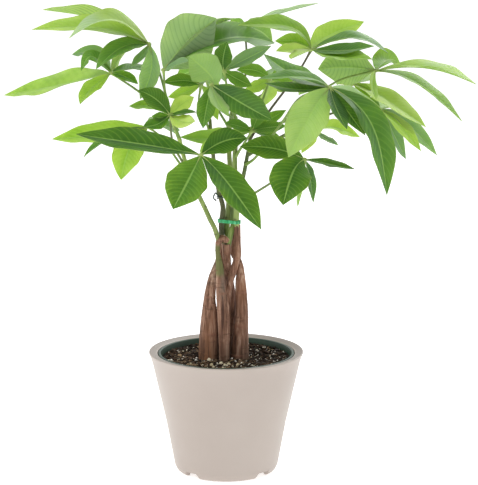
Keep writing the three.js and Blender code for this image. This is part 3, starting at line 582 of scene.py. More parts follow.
def write_piece(name, shells, materials, nodes=(), crease=40):
    """One object from shells: their arrays end to end, in metres, shaded smooth but for edges sharper than
    `crease` degrees."""
    offset = 0
    points, quads, tris, quad_skin, tri_skin = [], [], [], [], []
    for body in shells:
        points.append(body["points"])
        quads.append(body["quads"] + offset)
        tris.append(body["tris"] + offset)
        quad_skin.append(np.full(len(body["quads"]), body["skin"]))
        tri_skin.append(np.full(len(body["tris"]), body["skin"]))
        offset += len(body["points"])
    points = np.vstack(points) * MM
    quads = np.vstack(quads)
    tris = np.vstack(tris)
    mesh = bpy.data.meshes.new(name)
    mesh.vertices.add(len(points))
    mesh.vertices.foreach_set("co", points.astype(np.float32).ravel())
    corners = np.concatenate([quads.ravel(), tris.ravel()]).astype(np.int32)
    mesh.loops.add(len(corners))
    mesh.loops.foreach_set("vertex_index", corners)
    starts = np.concatenate([np.arange(len(quads)) * 4, len(quads) * 4 + np.arange(len(tris)) * 3])
    mesh.polygons.add(len(starts))
    mesh.polygons.foreach_set("loop_start", starts.astype(np.int32))
    mesh.polygons.foreach_set("material_index", np.concatenate(quad_skin + tri_skin).astype(np.int32))
    mesh.update(calc_edges=True)
    mesh.validate()
    mesh.shade_smooth()
    mesh.set_sharp_from_angle(angle=math.radians(crease))
    for tag in shells[0]["tags"]:
        values = np.vstack([body["tags"][tag] for body in shells])
        held = mesh.attributes.new(tag, "FLOAT_VECTOR", "POINT")
        held.data.foreach_set("vector", values.astype(np.float32).ravel())
    for material in materials:
        mesh.materials.append(material)
    piece = bpy.data.objects.new(name, mesh)
    bpy.context.scene.collection.objects.link(piece)
    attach(piece, "root")
    if nodes:
        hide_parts(*nodes)
    return piece


# Materials

class Finish:
    """A material and the few node moves that the finishes are built from."""

    def __init__(self, name, roughness, specular, **fixed):
        self.material = bpy.data.materials.new(name)
        self.material.use_nodes = True
        self.nodes = self.material.node_tree.nodes
        self.links = self.material.node_tree.links
        self.nodes.clear()
        output = self.nodes.new("ShaderNodeOutputMaterial")
        self.shader = self.nodes.new("ShaderNodeBsdfPrincipled")
        self.links.new(self.shader.outputs[0], output.inputs[0])
        self.shader.inputs["Roughness"].default_value = roughness
        self.shader.inputs["Specular IOR Level"].default_value = specular
        for socket, value in fixed.items():
            self.shader.inputs[socket.replace("_", " ")].default_value = value
        self.object_place = self.nodes.new("ShaderNodeTexCoord").outputs["Object"]

    def put(self, socket, value):
        """Gives a socket a number, a colour or another node's output."""
        if isinstance(value, bpy.types.NodeSocket):
            self.links.new(value, socket)
        elif isinstance(value, tuple) and socket.type == "RGBA":
            socket.default_value = (*value, 1.0)
        else:
            socket.default_value = value

    def maths(self, operation, a, b=0.0, c=0.0):
        """One step of arithmetic on a, b and c."""
        node = self.nodes.new("ShaderNodeMath")
        node.operation = operation
        for socket, value in zip(node.inputs, (a, b, c)):
            self.put(socket, value)
        return node.outputs[0]

    def product(self, a, b):
        """a times b."""
        return self.maths("MULTIPLY", a, b)

    def scaled(self, a, b, c):
        """a times b, plus c."""
        return self.maths("MULTIPLY_ADD", a, b, c)

    def shifted(self, value, noise, strength):
        """A value moved up and down by a noise about its middle."""
        return self.scaled(self.maths("SUBTRACT", noise, 0.5), strength, value)

    def between(self, value, low, high):
        """0 where the value is at low, 1 at high, eased between."""
        node = self.nodes.new("ShaderNodeMapRange")
        node.interpolation_type = "SMOOTHSTEP"
        self.put(node.inputs["Value"], value)
        self.put(node.inputs["From Min"], low)
        self.put(node.inputs["From Max"], high)
        return node.outputs[0]

    def blend(self, share, first, second):
        """From the first colour to the second by a share."""
        node = self.nodes.new("ShaderNodeMix")
        node.data_type = "RGBA"
        self.put(node.inputs[0], share)
        self.put(node.inputs[6], first)
        self.put(node.inputs[7], second)
        return node.outputs[2]

    def over(self, base, color, value, low, high, most=1.0):
        """The base with a colour laid over it where a value is near high, by a share of `most` at most."""
        return self.blend(self.product(self.between(value, low, high), most), base, color)

    def ramp(self, value, stops):
        """The colour at a value between the stops, each (place, colour)."""
        node = self.nodes.new("ShaderNodeValToRGB")
        elements = node.color_ramp.elements
        while len(elements) < len(stops):
            elements.new(0.5)
        for element, (place, color) in zip(elements, stops):
            element.position = place
            element.color = (*color, 1.0)
        self.put(node.inputs[0], value)
        return node.outputs[0]

    def noise(self, scale, detail, rough=0.5, stretch=None):
        """Cloudy noise from 0 to 1 in object coordinates, stretched by a scale on each axis where one is
        given."""
        place = self.object_place
        if stretch:
            mapping = self.nodes.new("ShaderNodeMapping")
            self.put(mapping.inputs["Vector"], place)
            self.put(mapping.inputs["Scale"], stretch)
            place = mapping.outputs[0]
        node = self.nodes.new("ShaderNodeTexNoise")
        self.put(node.inputs["Vector"], place)
        self.put(node.inputs["Scale"], scale)
        self.put(node.inputs["Detail"], detail)
        self.put(node.inputs["Roughness"], rough)
        return node.outputs[0]

    def cells(self, scale):
        """Distance to the nearest of scattered points."""
        node = self.nodes.new("ShaderNodeTexVoronoi")
        self.put(node.inputs["Vector"], self.object_place)
        self.put(node.inputs["Scale"], scale)
        return node.outputs[0]

    def parts(self, vector):
        """The three values of a vector."""
        split = self.nodes.new("ShaderNodeSeparateXYZ")
        self.links.new(vector, split.inputs[0])
        return split.outputs[0], split.outputs[1], split.outputs[2]

    def flat_radius(self):
        """Distance from the pot's axis: the root of x² + y²."""
        x, y = self.parts(self.object_place)[:2]
        return self.maths("SQRT", self.maths("ADD", self.product(x, x), self.product(y, y)))

    def tag(self, name):
        """The three values of a piece's own attribute."""
        node = self.nodes.new("ShaderNodeAttribute")
        node.attribute_name = name
        return self.parts(node.outputs["Vector"])

    def bump(self, height, strength, distance):
        """Small relief from a height."""
        node = self.nodes.new("ShaderNodeBump")
        node.inputs["Strength"].default_value = strength
        node.inputs["Distance"].default_value = distance
        self.links.new(height, node.inputs["Height"])
        self.links.new(node.outputs[0], self.shader.inputs["Normal"])

    def done(self, color, roughness=None):
        """Links the colour and the roughness."""
        self.links.new(color, self.shader.inputs["Base Color"])
        if roughness is not None:
            self.links.new(roughness, self.shader.inputs["Roughness"])
        return self.material


# Leaf colours. The greens of a blade go from an old one to a young one, and also paint shade and light on it;
# those of a stalk go from young to old.
BLADE_GREENS = [
    (0.0, (0.024, 0.080, 0.014)), (0.2, (0.050, 0.145, 0.022)), (0.4, (0.098, 0.230, 0.032)),
    (0.6, (0.210, 0.365, 0.048)), (0.8, (0.370, 0.540, 0.110)), (1.0, (0.560, 0.740, 0.230))]
VEIN_GREEN = (0.25, 0.42, 0.10)
MIDRIB_GREEN = (0.36, 0.53, 0.15)
MARGIN_OLIVE = (0.13, 0.15, 0.03)
UNDER_GREEN = (0.27, 0.38, 0.12)
UNDER_VEIN_GREEN = (0.13, 0.22, 0.07)
# Silvery bloom, partly the blade's own tint and partly a painted sheen of light
BLOOM_AND_SHEEN_SILVER = (0.46, 0.62, 0.44)
BLOOM_AND_SHEEN_VEIN_GREEN = (0.18, 0.33, 0.16)
STALK_COLORS = [
    (0.0, (0.33, 0.50, 0.10)), (0.4, (0.17, 0.27, 0.06)), (0.75, (0.13, 0.12, 0.07)),
    (1.0, (0.10, 0.07, 0.06))]
SWELLING_GREEN = (0.40, 0.48, 0.16)


def leaf_blade_finish():
    """Leaf blade: green by youth and by painted shade, pale midrib, side veins that curve to the tip, paler
    underside, silvery bloom that is partly a painted sheen. The tag blade is (across, along, under) and
    tone is (youth, bloom, chance)."""
    skin = Finish("leaf_blade", 0.45, 0.12, Subsurface_Weight=0.65, Subsurface_Scale=0.0025,
                  Subsurface_Radius=(0.85, 1.0, 0.45))
    across, along, under = skin.tag("blade")
    youth_and_shade, bloom_and_sheen, chance = skin.tag("tone")
    side = skin.maths("ABSOLUTE", across)
    slanted = skin.product(skin.maths("POWER", side, VEIN_CURVE), VEIN_SLANT)
    phase = skin.product(skin.maths("SUBTRACT", along, slanted), SIDE_VEINS)
    from_vein = skin.maths("PINGPONG", skin.maths("ADD", phase, chance), 0.5)
    vein = skin.maths("SUBTRACT", 1.0, skin.between(from_vein, 0.02, 0.15))
    quilt = skin.between(from_vein, 0.0, 0.5)
    midrib = skin.maths("SUBTRACT", 1.0, skin.between(side, 0.02, 0.075))
    mottle = skin.noise(45.0, 4.0, 0.55)
    fine = skin.noise(900.0, 2.0, 0.6)
    # Youth also holds painted shade and light: lower for leaflets in shade, higher for lit ones
    shade = skin.shifted(skin.shifted(youth_and_shade, mottle, 0.34), fine, 0.1)
    green = skin.ramp(skin.scaled(quilt, -0.03, shade), BLADE_GREENS)
    green = skin.blend(skin.product(vein, 0.14), green, VEIN_GREEN)
    plain_under = skin.blend(0.4, green, UNDER_GREEN)
    veined_under = skin.over(plain_under, UNDER_VEIN_GREEN, from_vein, 0.34, 0.06, 0.5)
    green = skin.blend(under, green, veined_under)
    # Partly painted sheen: the bloom's silver laid over the green
    silver = skin.blend(skin.product(vein, 0.6), BLOOM_AND_SHEEN_SILVER, BLOOM_AND_SHEEN_VEIN_GREEN)
    green = skin.blend(skin.product(bloom_and_sheen, 0.6), green, silver)
    green = skin.blend(skin.product(midrib, 0.6), green, MIDRIB_GREEN)
    green = skin.over(green, MARGIN_OLIVE, side, 0.93, 1.0, 0.25)
    dull = skin.scaled(under, 0.15, skin.scaled(mottle, 0.16, 0.34))
    relief = skin.scaled(quilt, 0.6, skin.product(fine, 0.15))
    skin.bump(skin.scaled(midrib, 0.4, relief), 0.35, 0.0003)
    return skin.done(green, skin.scaled(bloom_and_sheen, -0.1, dull))


def leaf_stalk_finish():
    """Leaf stalk: green to purplish grey by the tag tone, (age, swelling, share of its length), with fine
    flecks, and paler where it swells."""
    skin = Finish("leaf_stalk", 0.45, 0.4, Subsurface_Weight=0.1, Subsurface_Scale=0.001)
    age, swelling, _ = skin.tag("tone")
    fleck = skin.noise(240.0, 3.0)
    color = skin.ramp(skin.shifted(age, fleck, 0.4), STALK_COLORS)
    color = skin.blend(skin.product(swelling, 0.6), color, SWELLING_GREEN)
    skin.bump(fleck, 0.3, 0.0002)
    return skin.done(color, skin.between(fleck, -0.6, 1.6))


# Colours of bark, trunks and shoots
BARK_BROWNS = [
    (0.3, (0.070, 0.030, 0.018)), (0.44, (0.205, 0.100, 0.060)), (0.58, (0.350, 0.195, 0.130)),
    (0.74, (0.600, 0.410, 0.310))]
BARK_GREENS = [(0.3, (0.095, 0.095, 0.030)), (0.55, (0.190, 0.195, 0.070)), (0.8, (0.300, 0.300, 0.125))]
# A darker brown for the bark low down
LOW_DARK_BROWN = (0.075, 0.038, 0.022)
RUST = (0.400, 0.165, 0.060)
BARK_RED = (0.270, 0.115, 0.050)
BARK_FILM = (0.290, 0.230, 0.180)
CRACK_BROWN = (0.090, 0.050, 0.032)
SCAR_BROWN = (0.240, 0.110, 0.070)
CUT_WOODS = [(0.3, (0.33, 0.24, 0.15)), (0.7, (0.46, 0.35, 0.23))]
# Near black painted shade for the hollow middle of a cut end
HOLLOW_PAINTED_SHADE = (0.020, 0.014, 0.010)
STEM_GREENS = [(0.3, (0.125, 0.195, 0.036)), (0.5, (0.235, 0.325, 0.080)), (0.72, (0.360, 0.450, 0.150))]
STEM_WOODS = [(0.3, (0.070, 0.042, 0.026)), (0.5, (0.150, 0.095, 0.058)), (0.72, (0.260, 0.180, 0.115))]
YOUNG_STEM = (0.42, 0.56, 0.13)
# Painted shade on the shoots
STEM_PAINTED_SHADE = (0.022, 0.035, 0.014)
PORE_TAN = (0.42, 0.40, 0.26)
LEAF_SCAR = (0.060, 0.045, 0.025)


def bark_finish():
    """Trunk bark: brown with lengthwise streaks, thin cross lines, reddish patches and grey film, darker low
    down and rusty there on its left; green wood, scars and cut ends by the tag bark, (green, scar, cut), with
    painted shade in the hollow middle of a cut end."""
    skin = Finish("trunk_bark", 0.75, 0.3)
    sap, scar, cut = skin.tag("bark")
    long_grain = skin.noise(150.0, 5.0, 0.6, (1.0, 1.0, 0.09))
    patches = skin.noise(38.0, 3.0, 0.5, (1.0, 1.0, 0.35))
    cross = skin.noise(170.0, 3.0, 0.6, (0.22, 0.22, 2.2))
    fine = skin.noise(700.0, 3.0, 0.6)
    hairline = skin.noise(520.0, 3.0, 0.6, (1.0, 1.0, 0.05))
    grain = skin.shifted(long_grain, hairline, 0.7)
    across, _, height = skin.parts(skin.object_place)
    low = skin.between(height, 0.150, 0.112)
    leftward = skin.between(across, -0.008, -0.020)
    rusty = skin.product(skin.product(low, leftward), skin.between(grain, 0.35, 0.65))
    brown = skin.blend(skin.product(low, 0.6), skin.ramp(grain, BARK_BROWNS), LOW_DARK_BROWN)
    brown = skin.blend(skin.product(rusty, 0.75), brown, RUST)
    brown = skin.over(brown, BARK_RED, patches, 0.52, 0.72, 0.55)
    brown = skin.over(brown, BARK_FILM, patches, 0.48, 0.3, 0.4)
    brown = skin.over(brown, CRACK_BROWN, cross, 0.60, 0.72, 0.45)
    green = skin.ramp(skin.scaled(patches, 0.5, skin.product(long_grain, 0.5)), BARK_GREENS)
    color = skin.blend(sap, brown, green)
    color = skin.blend(skin.product(scar, 0.75), color, SCAR_BROWN)
    color = skin.blend(cut, color, skin.ramp(fine, CUT_WOODS))
    # Painted shade: the cut face's middle is darkened nearly to black, as in a hollow
    color = skin.over(color, HOLLOW_PAINTED_SHADE, cut, 1.3, 1.8)
    relief = skin.scaled(skin.between(cross, 0.60, 0.72), -0.5, long_grain)
    skin.bump(skin.scaled(fine, 0.25, relief), 0.75, 0.0012)
    return skin.done(color, skin.scaled(long_grain, 0.25, 0.55))


def green_stem_finish():
    """Green wood of a shoot: green to brown by the tag bark, (brown, scar, dark), with fine streaks and pale
    pores, and dark as painted shade laid over it."""
    skin = Finish("green_stem", 0.55, 0.4)
    brown, scar, dark = skin.tag("bark")
    grain = skin.noise(260.0, 4.0, 0.6, (1.0, 1.0, 0.12))
    patches = skin.noise(60.0, 3.0, 0.5, (1.0, 1.0, 0.5))
    pores = skin.cells(420.0)
    woody = skin.shifted(brown, patches, 0.9)
    green, wood = skin.ramp(grain, STEM_GREENS), skin.ramp(grain, STEM_WOODS)
    color = skin.blend(skin.between(woody, 0.1, 0.8), green, wood)
    color = skin.over(color, YOUNG_STEM, brown, 0.0, -0.5)
    # Painted shade over the stem, by the tag's dark share
    color = skin.blend(skin.product(dark, 0.75), color, STEM_PAINTED_SHADE)
    color = skin.over(color, PORE_TAN, pores, 0.16, 0.05, 0.4)
    color = skin.blend(skin.product(scar, 0.8), color, LEAF_SCAR)
    skin.bump(skin.scaled(pores, 0.2, grain), 0.4, 0.0004)
    return skin.done(color, skin.scaled(grain, 0.2, 0.42))


# Colours of the pots, the ties and the floor
POT_GREYS = [(0.3, (0.445, 0.380, 0.338)), (0.7, (0.480, 0.416, 0.373))]
POT_SPECK = (0.30, 0.26, 0.23)
POT_GRAIN = (0.55, 0.49, 0.45)
# Painted shade for the rim's slope
RIM_PAINTED_SHADE = (0.235, 0.190, 0.165)
LINER_GREENS = [(0.35, (0.020, 0.050, 0.030)), (0.65, (0.036, 0.078, 0.050))]
LINER_DUST = (0.11, 0.13, 0.10)
TIE_GREENS = [(0.3, (0.010, 0.200, 0.060)), (0.5, (0.035, 0.430, 0.160)), (0.75, (0.240, 0.720, 0.400))]
WIRE_GREENS = [(0.4, (0.006, 0.022, 0.014)), (0.7, (0.030, 0.075, 0.050))]
FLOOR_WHITES = [(0.0, (0.90, 0.90, 0.90)), (1.0, (0.93, 0.93, 0.93))]


def outer_pot_finish():
    """Outer pot: warm grey moulded plastic, faintly clouded, with a very fine matt grain, and painted shade
    darkening the rim's slope."""
    skin = Finish("outer_pot_plastic", 0.45, 0.5)
    grain = skin.noise(1500.0, 2.0, 0.7)
    color = skin.ramp(skin.noise(14.0, 3.0), POT_GREYS)
    color = skin.over(color, POT_SPECK, skin.cells(520.0), 0.14, 0.04, 0.35)
    color = skin.over(color, POT_GRAIN, grain, 0.5, 0.75, 0.2)
    # Painted shade: the rim's inward slope, just inside its outer edge, is darkened
    height = skin.parts(skin.object_place)[2]
    high = skin.between(height, (POT_HEIGHT - 1.8) * MM, (POT_HEIGHT - 1.4) * MM)
    inside_edge = skin.between(skin.flat_radius(), (POT_RIM - 0.3) * MM, (POT_RIM - 0.9) * MM)
    color = skin.blend(skin.product(skin.product(high, inside_edge), 0.6), color, RIM_PAINTED_SHADE)
    skin.bump(grain, 0.12, 0.0002)
    return skin.done(color, skin.scaled(grain, 0.2, 0.3))


def grow_pot_finish():
    """Nursery pot: dark green thin plastic, with faint dust and fine scuffs round it."""
    skin = Finish("grow_pot_plastic", 0.42, 0.45)
    dust = skin.noise(60.0, 4.0, 0.6)
    scuff = skin.noise(90.0, 3.0, 0.6, (0.5, 0.5, 9.0))
    color = skin.over(skin.ramp(scuff, LINER_GREENS), LINER_DUST, dust, 0.55, 0.75, 0.35)
    skin.bump(scuff, 0.15, 0.0002)
    return skin.done(color, skin.scaled(dust, 0.3, 0.28))


def tie_finish():
    """Stretch tie: bright green film, darker in its creases, with pale stretch marks."""
    skin = Finish("green_tie_film", 0.3, 0.5, Subsurface_Weight=0.2, Subsurface_Scale=0.0008)
    marks = skin.noise(300.0, 3.0, 0.6, (1.0, 1.0, 0.25))
    skin.bump(marks, 0.5, 0.0006)
    return skin.done(skin.ramp(marks, TIE_GREENS), skin.scaled(marks, 0.3, 0.15))


def wire_finish():
    """Coated wire: dark green with worn spots."""
    skin = Finish("wire_coat", 0.45, 0.4)
    wear = skin.noise(380.0, 3.0, 0.6)
    skin.bump(wear, 0.4, 0.0003)
    return skin.done(skin.ramp(wear, WIRE_GREENS))


def floor_finish():
    """Studio floor: near white, lit a little from within, with the faintest cloud."""
    skin = Finish("studio_floor", 0.9, 0.0, Emission_Color=(1.0, 1.0, 1.0, 1.0), Emission_Strength=0.6)
    return skin.done(skin.ramp(skin.noise(0.6, 2.0), FLOOR_WHITES))


# Colours of the mix and of the bits on it, each bit's by chance
MIX_BROWNS_AND_SHADE = [(0.3, (0.006, 0.004, 0.002)), (0.5, (0.020, 0.012, 0.007)), (0.68, (0.070, 0.040, 0.022))]
MIX_TAN = (0.26, 0.16, 0.09)
PERLITE_WHITES = [(0.2, (0.56, 0.50, 0.40)), (0.5, (0.80, 0.75, 0.66)), (0.8, (0.95, 0.92, 0.86))]
CHIP_BROWNS = [
    (0.25, (0.012, 0.007, 0.004)), (0.5, (0.036, 0.019, 0.011)), (0.68, (0.110, 0.060, 0.032)),
    (0.8, (0.420, 0.280, 0.150))]
CRUMB_BROWNS = [(0.2, (0.008, 0.005, 0.003)), (0.6, (0.034, 0.018, 0.010)), (0.88, (0.120, 0.066, 0.035))]
PEBBLE_TANS = [(0.2, (0.50, 0.40, 0.24)), (0.8, (0.80, 0.72, 0.54))]
ROOT_TANS = [(0.2, (0.12, 0.07, 0.04)), (0.8, (0.42, 0.30, 0.18))]


def soil_finish():
    """Potting mix: near black to brown crumbs with small tan bits, kept this dark partly as painted shade
    from the crown above.
    """
    skin = Finish("potting_mix", 0.95, 0.15)
    crumbs = skin.cells(330.0)
    cloud = skin.noise(160.0, 5.0, 0.65)
    # The browns are the mix's own colour, darkened partly as painted shade from the crown above
    color = skin.over(skin.ramp(cloud, MIX_BROWNS_AND_SHADE), MIX_TAN, skin.cells(620.0), 0.2, 0.08, 0.6)
    skin.bump(skin.maths("ADD", cloud, crumbs), 0.9, 0.0014)
    return skin.done(color)


def speckled_finish(name, stops, roughness):
    """Small bits of the mix: a colour from the tag bit's chance, broken by fine noise."""
    skin = Finish(name, roughness, 0.25)
    chance = skin.tag("bit")[0]
    cloud = skin.noise(420.0, 3.0, 0.6)
    color = skin.ramp(skin.scaled(cloud, 0.5, skin.product(chance, 0.5)), stops)
    skin.bump(cloud, 0.5, 0.0006)
    return skin.done(color, skin.scaled(cloud, 0.2, roughness - 0.1))


# Leaves

def outline(share):
    """Share of a leaflet's full width: the sine of pi times the share to the power OUTLINE_SKEW, itself to
    the power OUTLINE_FULLNESS: none at the stalk, full near the middle, pointed at the tip."""
    return np.clip(np.sin(math.pi * share ** OUTLINE_SKEW), 0, 1) ** OUTLINE_FULLNESS


def leaflet_line(hub, row, count):
    """A leaflet's middle line: the cubic from the hub over the middle to the tip whose handles reach shares
    KNEE_NEAR and KNEE_FAR of the way to one knee, so that it bends most near the hub."""
    start, tip = seen(hub), seen(row[2:5])
    middle = seen([row[0], row[1], hub[2] + (row[4] - hub[2]) * MIDDLE_DEPTH])
    knee = 8 * middle + (3 * KNEE_NEAR - 4) * start + (3 * KNEE_FAR - 4) * tip
    knee = knee / (3 * (KNEE_NEAR + KNEE_FAR))
    near, far = start + (knee - start) * KNEE_NEAR, tip + (knee - tip) * KNEE_FAR
    t = np.linspace(0, 1, 240)[:, None]
    curve = (1 - t) ** 3 * start + 3 * t * (1 - t) ** 2 * near + 3 * t * t * (1 - t) * far + t ** 3 * tip
    return even(curve, count), middle


def leaflet(hub, row):
    """One leaflet: at a share of its line and across from -1 to 1, the middle + across · half width · out +
    lift · top. The lift is the fold, deepest at the midrib, plus a swell on each half, low pillows between
    the side veins, and a wave along the edges. The blade turns about its line by the share of its width that
    is seen. The underside lies one thickness below, with a rib under the middle, and a short stalk runs on
    under the blade's foot."""
    seen_width, youth_and_shade, bloom_and_sheen = row[5:]
    line, middle = leaflet_line(hub, row, BLADE_ROWS)
    length = np.linalg.norm(np.diff(line, axis=0), axis=1).sum()
    width = max(length * BLADE_SHARE, abs(seen_width) * WIDTH_SPARE)
    facing = abs(seen_width) / width
    lean = math.sqrt(1 - facing * facing)
    to_eye = unit(EYE - middle)
    side = unit(np.cross(unit(line[-1] - line[0]), to_eye))
    outwards = unit(np.array([middle[0], middle[1], 0]))
    skyward = -1 if side @ SKY + OUTWARD_LEAN * (side @ outwards) < 0 else 1
    along = headings(line)
    in_view = unit(np.cross(along, to_eye))
    toward = unit(np.cross(in_view, along))
    top = toward * np.sign(seen_width) * facing + in_view * skyward * lean
    out = unit(np.cross(along, top))
    share = np.linspace(0, 1, BLADE_ROWS)[:, None]
    least = np.where(share < 0.5, STALK_WIDTH, TIP_WIDTH)
    half = np.maximum(width * outline(share), least) / 2
    across = np.linspace(-1, 1, 2 * HALF_COLUMNS + 1)
    across = (np.sign(across) * np.abs(across) ** EDGE_CROWDING)[None, :]
    from_rib = np.abs(across)
    vein_shift, left_shift, right_shift, nick_shift = rng.random(5)[:4]
    phase = (share - VEIN_SLANT * from_rib ** VEIN_CURVE) * SIDE_VEINS + vein_shift
    blade = np.sin(math.pi * share)
    swell = np.sin(math.pi * from_rib) * blade
    left_wave = np.sin(TAU * (LEFT_WAVES * share + left_shift))
    right_wave = np.sin(TAU * (RIGHT_WAVES * share + right_shift))
    lift = BLADE_FOLD * half * (np.hypot(across, FOLD_SOFTNESS) - math.hypot(1, FOLD_SOFTNESS))
    lift = lift + HALF_SWELL * half * swell - PILLOW_HEIGHT * np.cos(TAU * phase) * swell
    lift = lift + EDGE_WAVE * half * np.where(across < 0, left_wave, right_wave) * across ** 2 * blade
    reach = half * across * (1 + NICK_DEPTH * np.sin(TAU * (NICKS * share + nick_shift)) * blade)
    rib = np.exp(-(across / RIB_WIDTH) ** 2)
    high = lift - GROOVE_DEPTH * rib * blade
    upper = line[:, None] + reach[..., None] * out[:, None] + high[..., None] * top[:, None]
    thickness = EDGE_THICKNESS + MIDDLE_THICKENING * (1 - from_rib) + RIB_HEIGHT * rib * (1 - share)
    under = upper - thickness[..., None] * top[:, None]
    place = np.stack(np.broadcast_arrays(across, share, 0.0), axis=-1).reshape(-1, 3)
    # Bloom, partly a painted sheen, covers only the outer half where it is below nought
    silvered = smoothstep(BLOOM_AND_SHEEN_STARTS, BLOOM_AND_SHEEN_FULL, place[:, 1]) if bloom_and_sheen < 0 else np.ones(len(place))
    tone = np.stack(np.broadcast_arrays(youth_and_shade, abs(bloom_and_sheen) * silvered, vein_shift), axis=1)
    sheet = closed_sheet(
        upper, under, blade=np.vstack([place, place + [0, 0, 1]]), tone=np.vstack([tone, tone]))
    foot_rows = BLADE_ROWS // 5
    rib_lift = lift[:foot_rows, HALF_COLUMNS:HALF_COLUMNS + 1]
    foot = line[:foot_rows] + top[:foot_rows] * (rib_lift - LEAFLET_STALK_DROP)
    radii = np.linspace(*LEAFLET_STALK_RADII, foot_rows)
    return [sheet, stalk_tube(foot, radii, LEAFLET_STALK_AGE, LEAFLET_STALK_SWELLING, LEAFLET_STALK_SIDES)]


def stalk_tube(line, radii, age, swelling, sides):
    """A leaf stalk: a round tube, with its age, its swelling and the share of its length as its tone."""
    tone = np.stack(np.broadcast_arrays(age, swelling, np.linspace(0, 1, len(line))), axis=1)
    return tube(rounds(line, radii, sides), 1, blade=np.zeros((len(line), 3)), tone=tone)


def leaf_hub(centre):
    """The swollen joint where leaflets meet: a ball, a little flat, with shallow lobes."""
    polar = np.linspace(POLE_GAP, math.pi - POLE_GAP, HUB_ROWS)[:, None]
    turn = np.linspace(0, TAU, HUB_SIDES, endpoint=False)[None, :]
    radius = HUB_RADIUS + HUB_LOBE_HEIGHT * np.sin(HUB_LOBES * turn) * np.sin(polar)
    flat = radius * np.sin(polar)
    high = HUB_FLATNESS * radius * np.cos(polar)
    rings = np.stack([flat * np.cos(turn), flat * np.sin(turn), high], axis=-1)
    return tube(rings + centre, 1, blade=np.zeros((HUB_ROWS, 3)), tone=np.tile(HUB_TONE, (HUB_ROWS, 1)))


def leaf(index, row, skins):
    """A compound leaf: its stalk from the hub to the shoot, the hub and the leaflets. The stalk's radius
    grows evenly, plus a bell at each end, exp(-(distance from the end / swelling length)²)."""
    hub = seen(row["hub"])
    knots = np.vstack([hub, seen(row["stalk"]), on_shoot(*row["joins"])])
    line = smooth_line(knots, 20 + 14 * len(row["stalk"]))
    share = np.linspace(0, 1, len(line))
    length = np.linalg.norm(np.diff(line, axis=0), axis=1).sum()
    by_hub = np.exp(-(share * length / HUB_SWELLING_LENGTH) ** 2)
    by_shoot = np.exp(-((1 - share) * length / FOOT_SWELLING_LENGTH) ** 2)
    young = np.exp(-(share * length / FOOT_SWELLING_LENGTH) ** 2)
    radii = PETIOLE_RADIUS + PETIOLE_GROWTH * share + HUB_SWELLING * by_hub + FOOT_SWELLING * by_shoot
    age = STALK_AGE.get(index + 1, USUAL_STALK_AGE) - 0.3 * young
    bodies = [stalk_tube(line, radii, age, 0.5 * by_hub, PETIOLE_SIDES), leaf_hub(hub)]
    for leaflet_row in row["leaflets"]:
        bodies += leaflet(row["hub"], leaflet_row)
    node = f"leaf_{index + 1:02d}"
    return write_piece(f"{node}_fresh", bodies, skins, [node], 50)


# Trunks and shoots

def rounded_ends(line, radii):
    """A tube's middle line and radii with END_RINGS more rings at each end: radius · cos, and onward by
    radius · sin, over a quarter turn."""
    turn = np.linspace(0, math.pi / 2 - POLE_GAP, END_RINGS + 1)[1:]
    tip_way, foot_way = unit(line[-1] - line[-2]), unit(line[0] - line[1])
    tip = line[-1] + np.outer(np.sin(turn), tip_way) * radii[-1]
    foot = line[0] + np.outer(np.sin(turn), foot_way) * radii[0]
    line = np.vstack([foot[::-1], line, tip])
    return line, np.concatenate([radii[0] * np.cos(turn[::-1]), radii, radii[-1] * np.cos(turn)])


def scar_weight(line, angle, marks):
    """How much each point of a stem lies on a scar: the largest, over the scars, of the bell
    exp(-1.2 (5 (1 - cos of the turn from the scar) / size)² - (1.6 · height from the scar / size)²)."""
    first, second = ring_frames(line)
    weight = np.zeros((len(line), len(angle)))
    ways = np.cos(angle)[None, :, None] * first[:, None] + np.sin(angle)[None, :, None] * second[:, None]
    for up, turn, size in marks:
        facing = np.array([math.cos(math.radians(turn)), -math.sin(math.radians(turn)), 0])
        apart = (1 - ways @ facing) * 5.0 / size
        rise = (line[:, 2] - height_seen(up)) / size
        weight = np.maximum(weight, np.exp(-apart ** 2 * 1.2 - (rise[:, None] * 1.6) ** 2))
    return weight


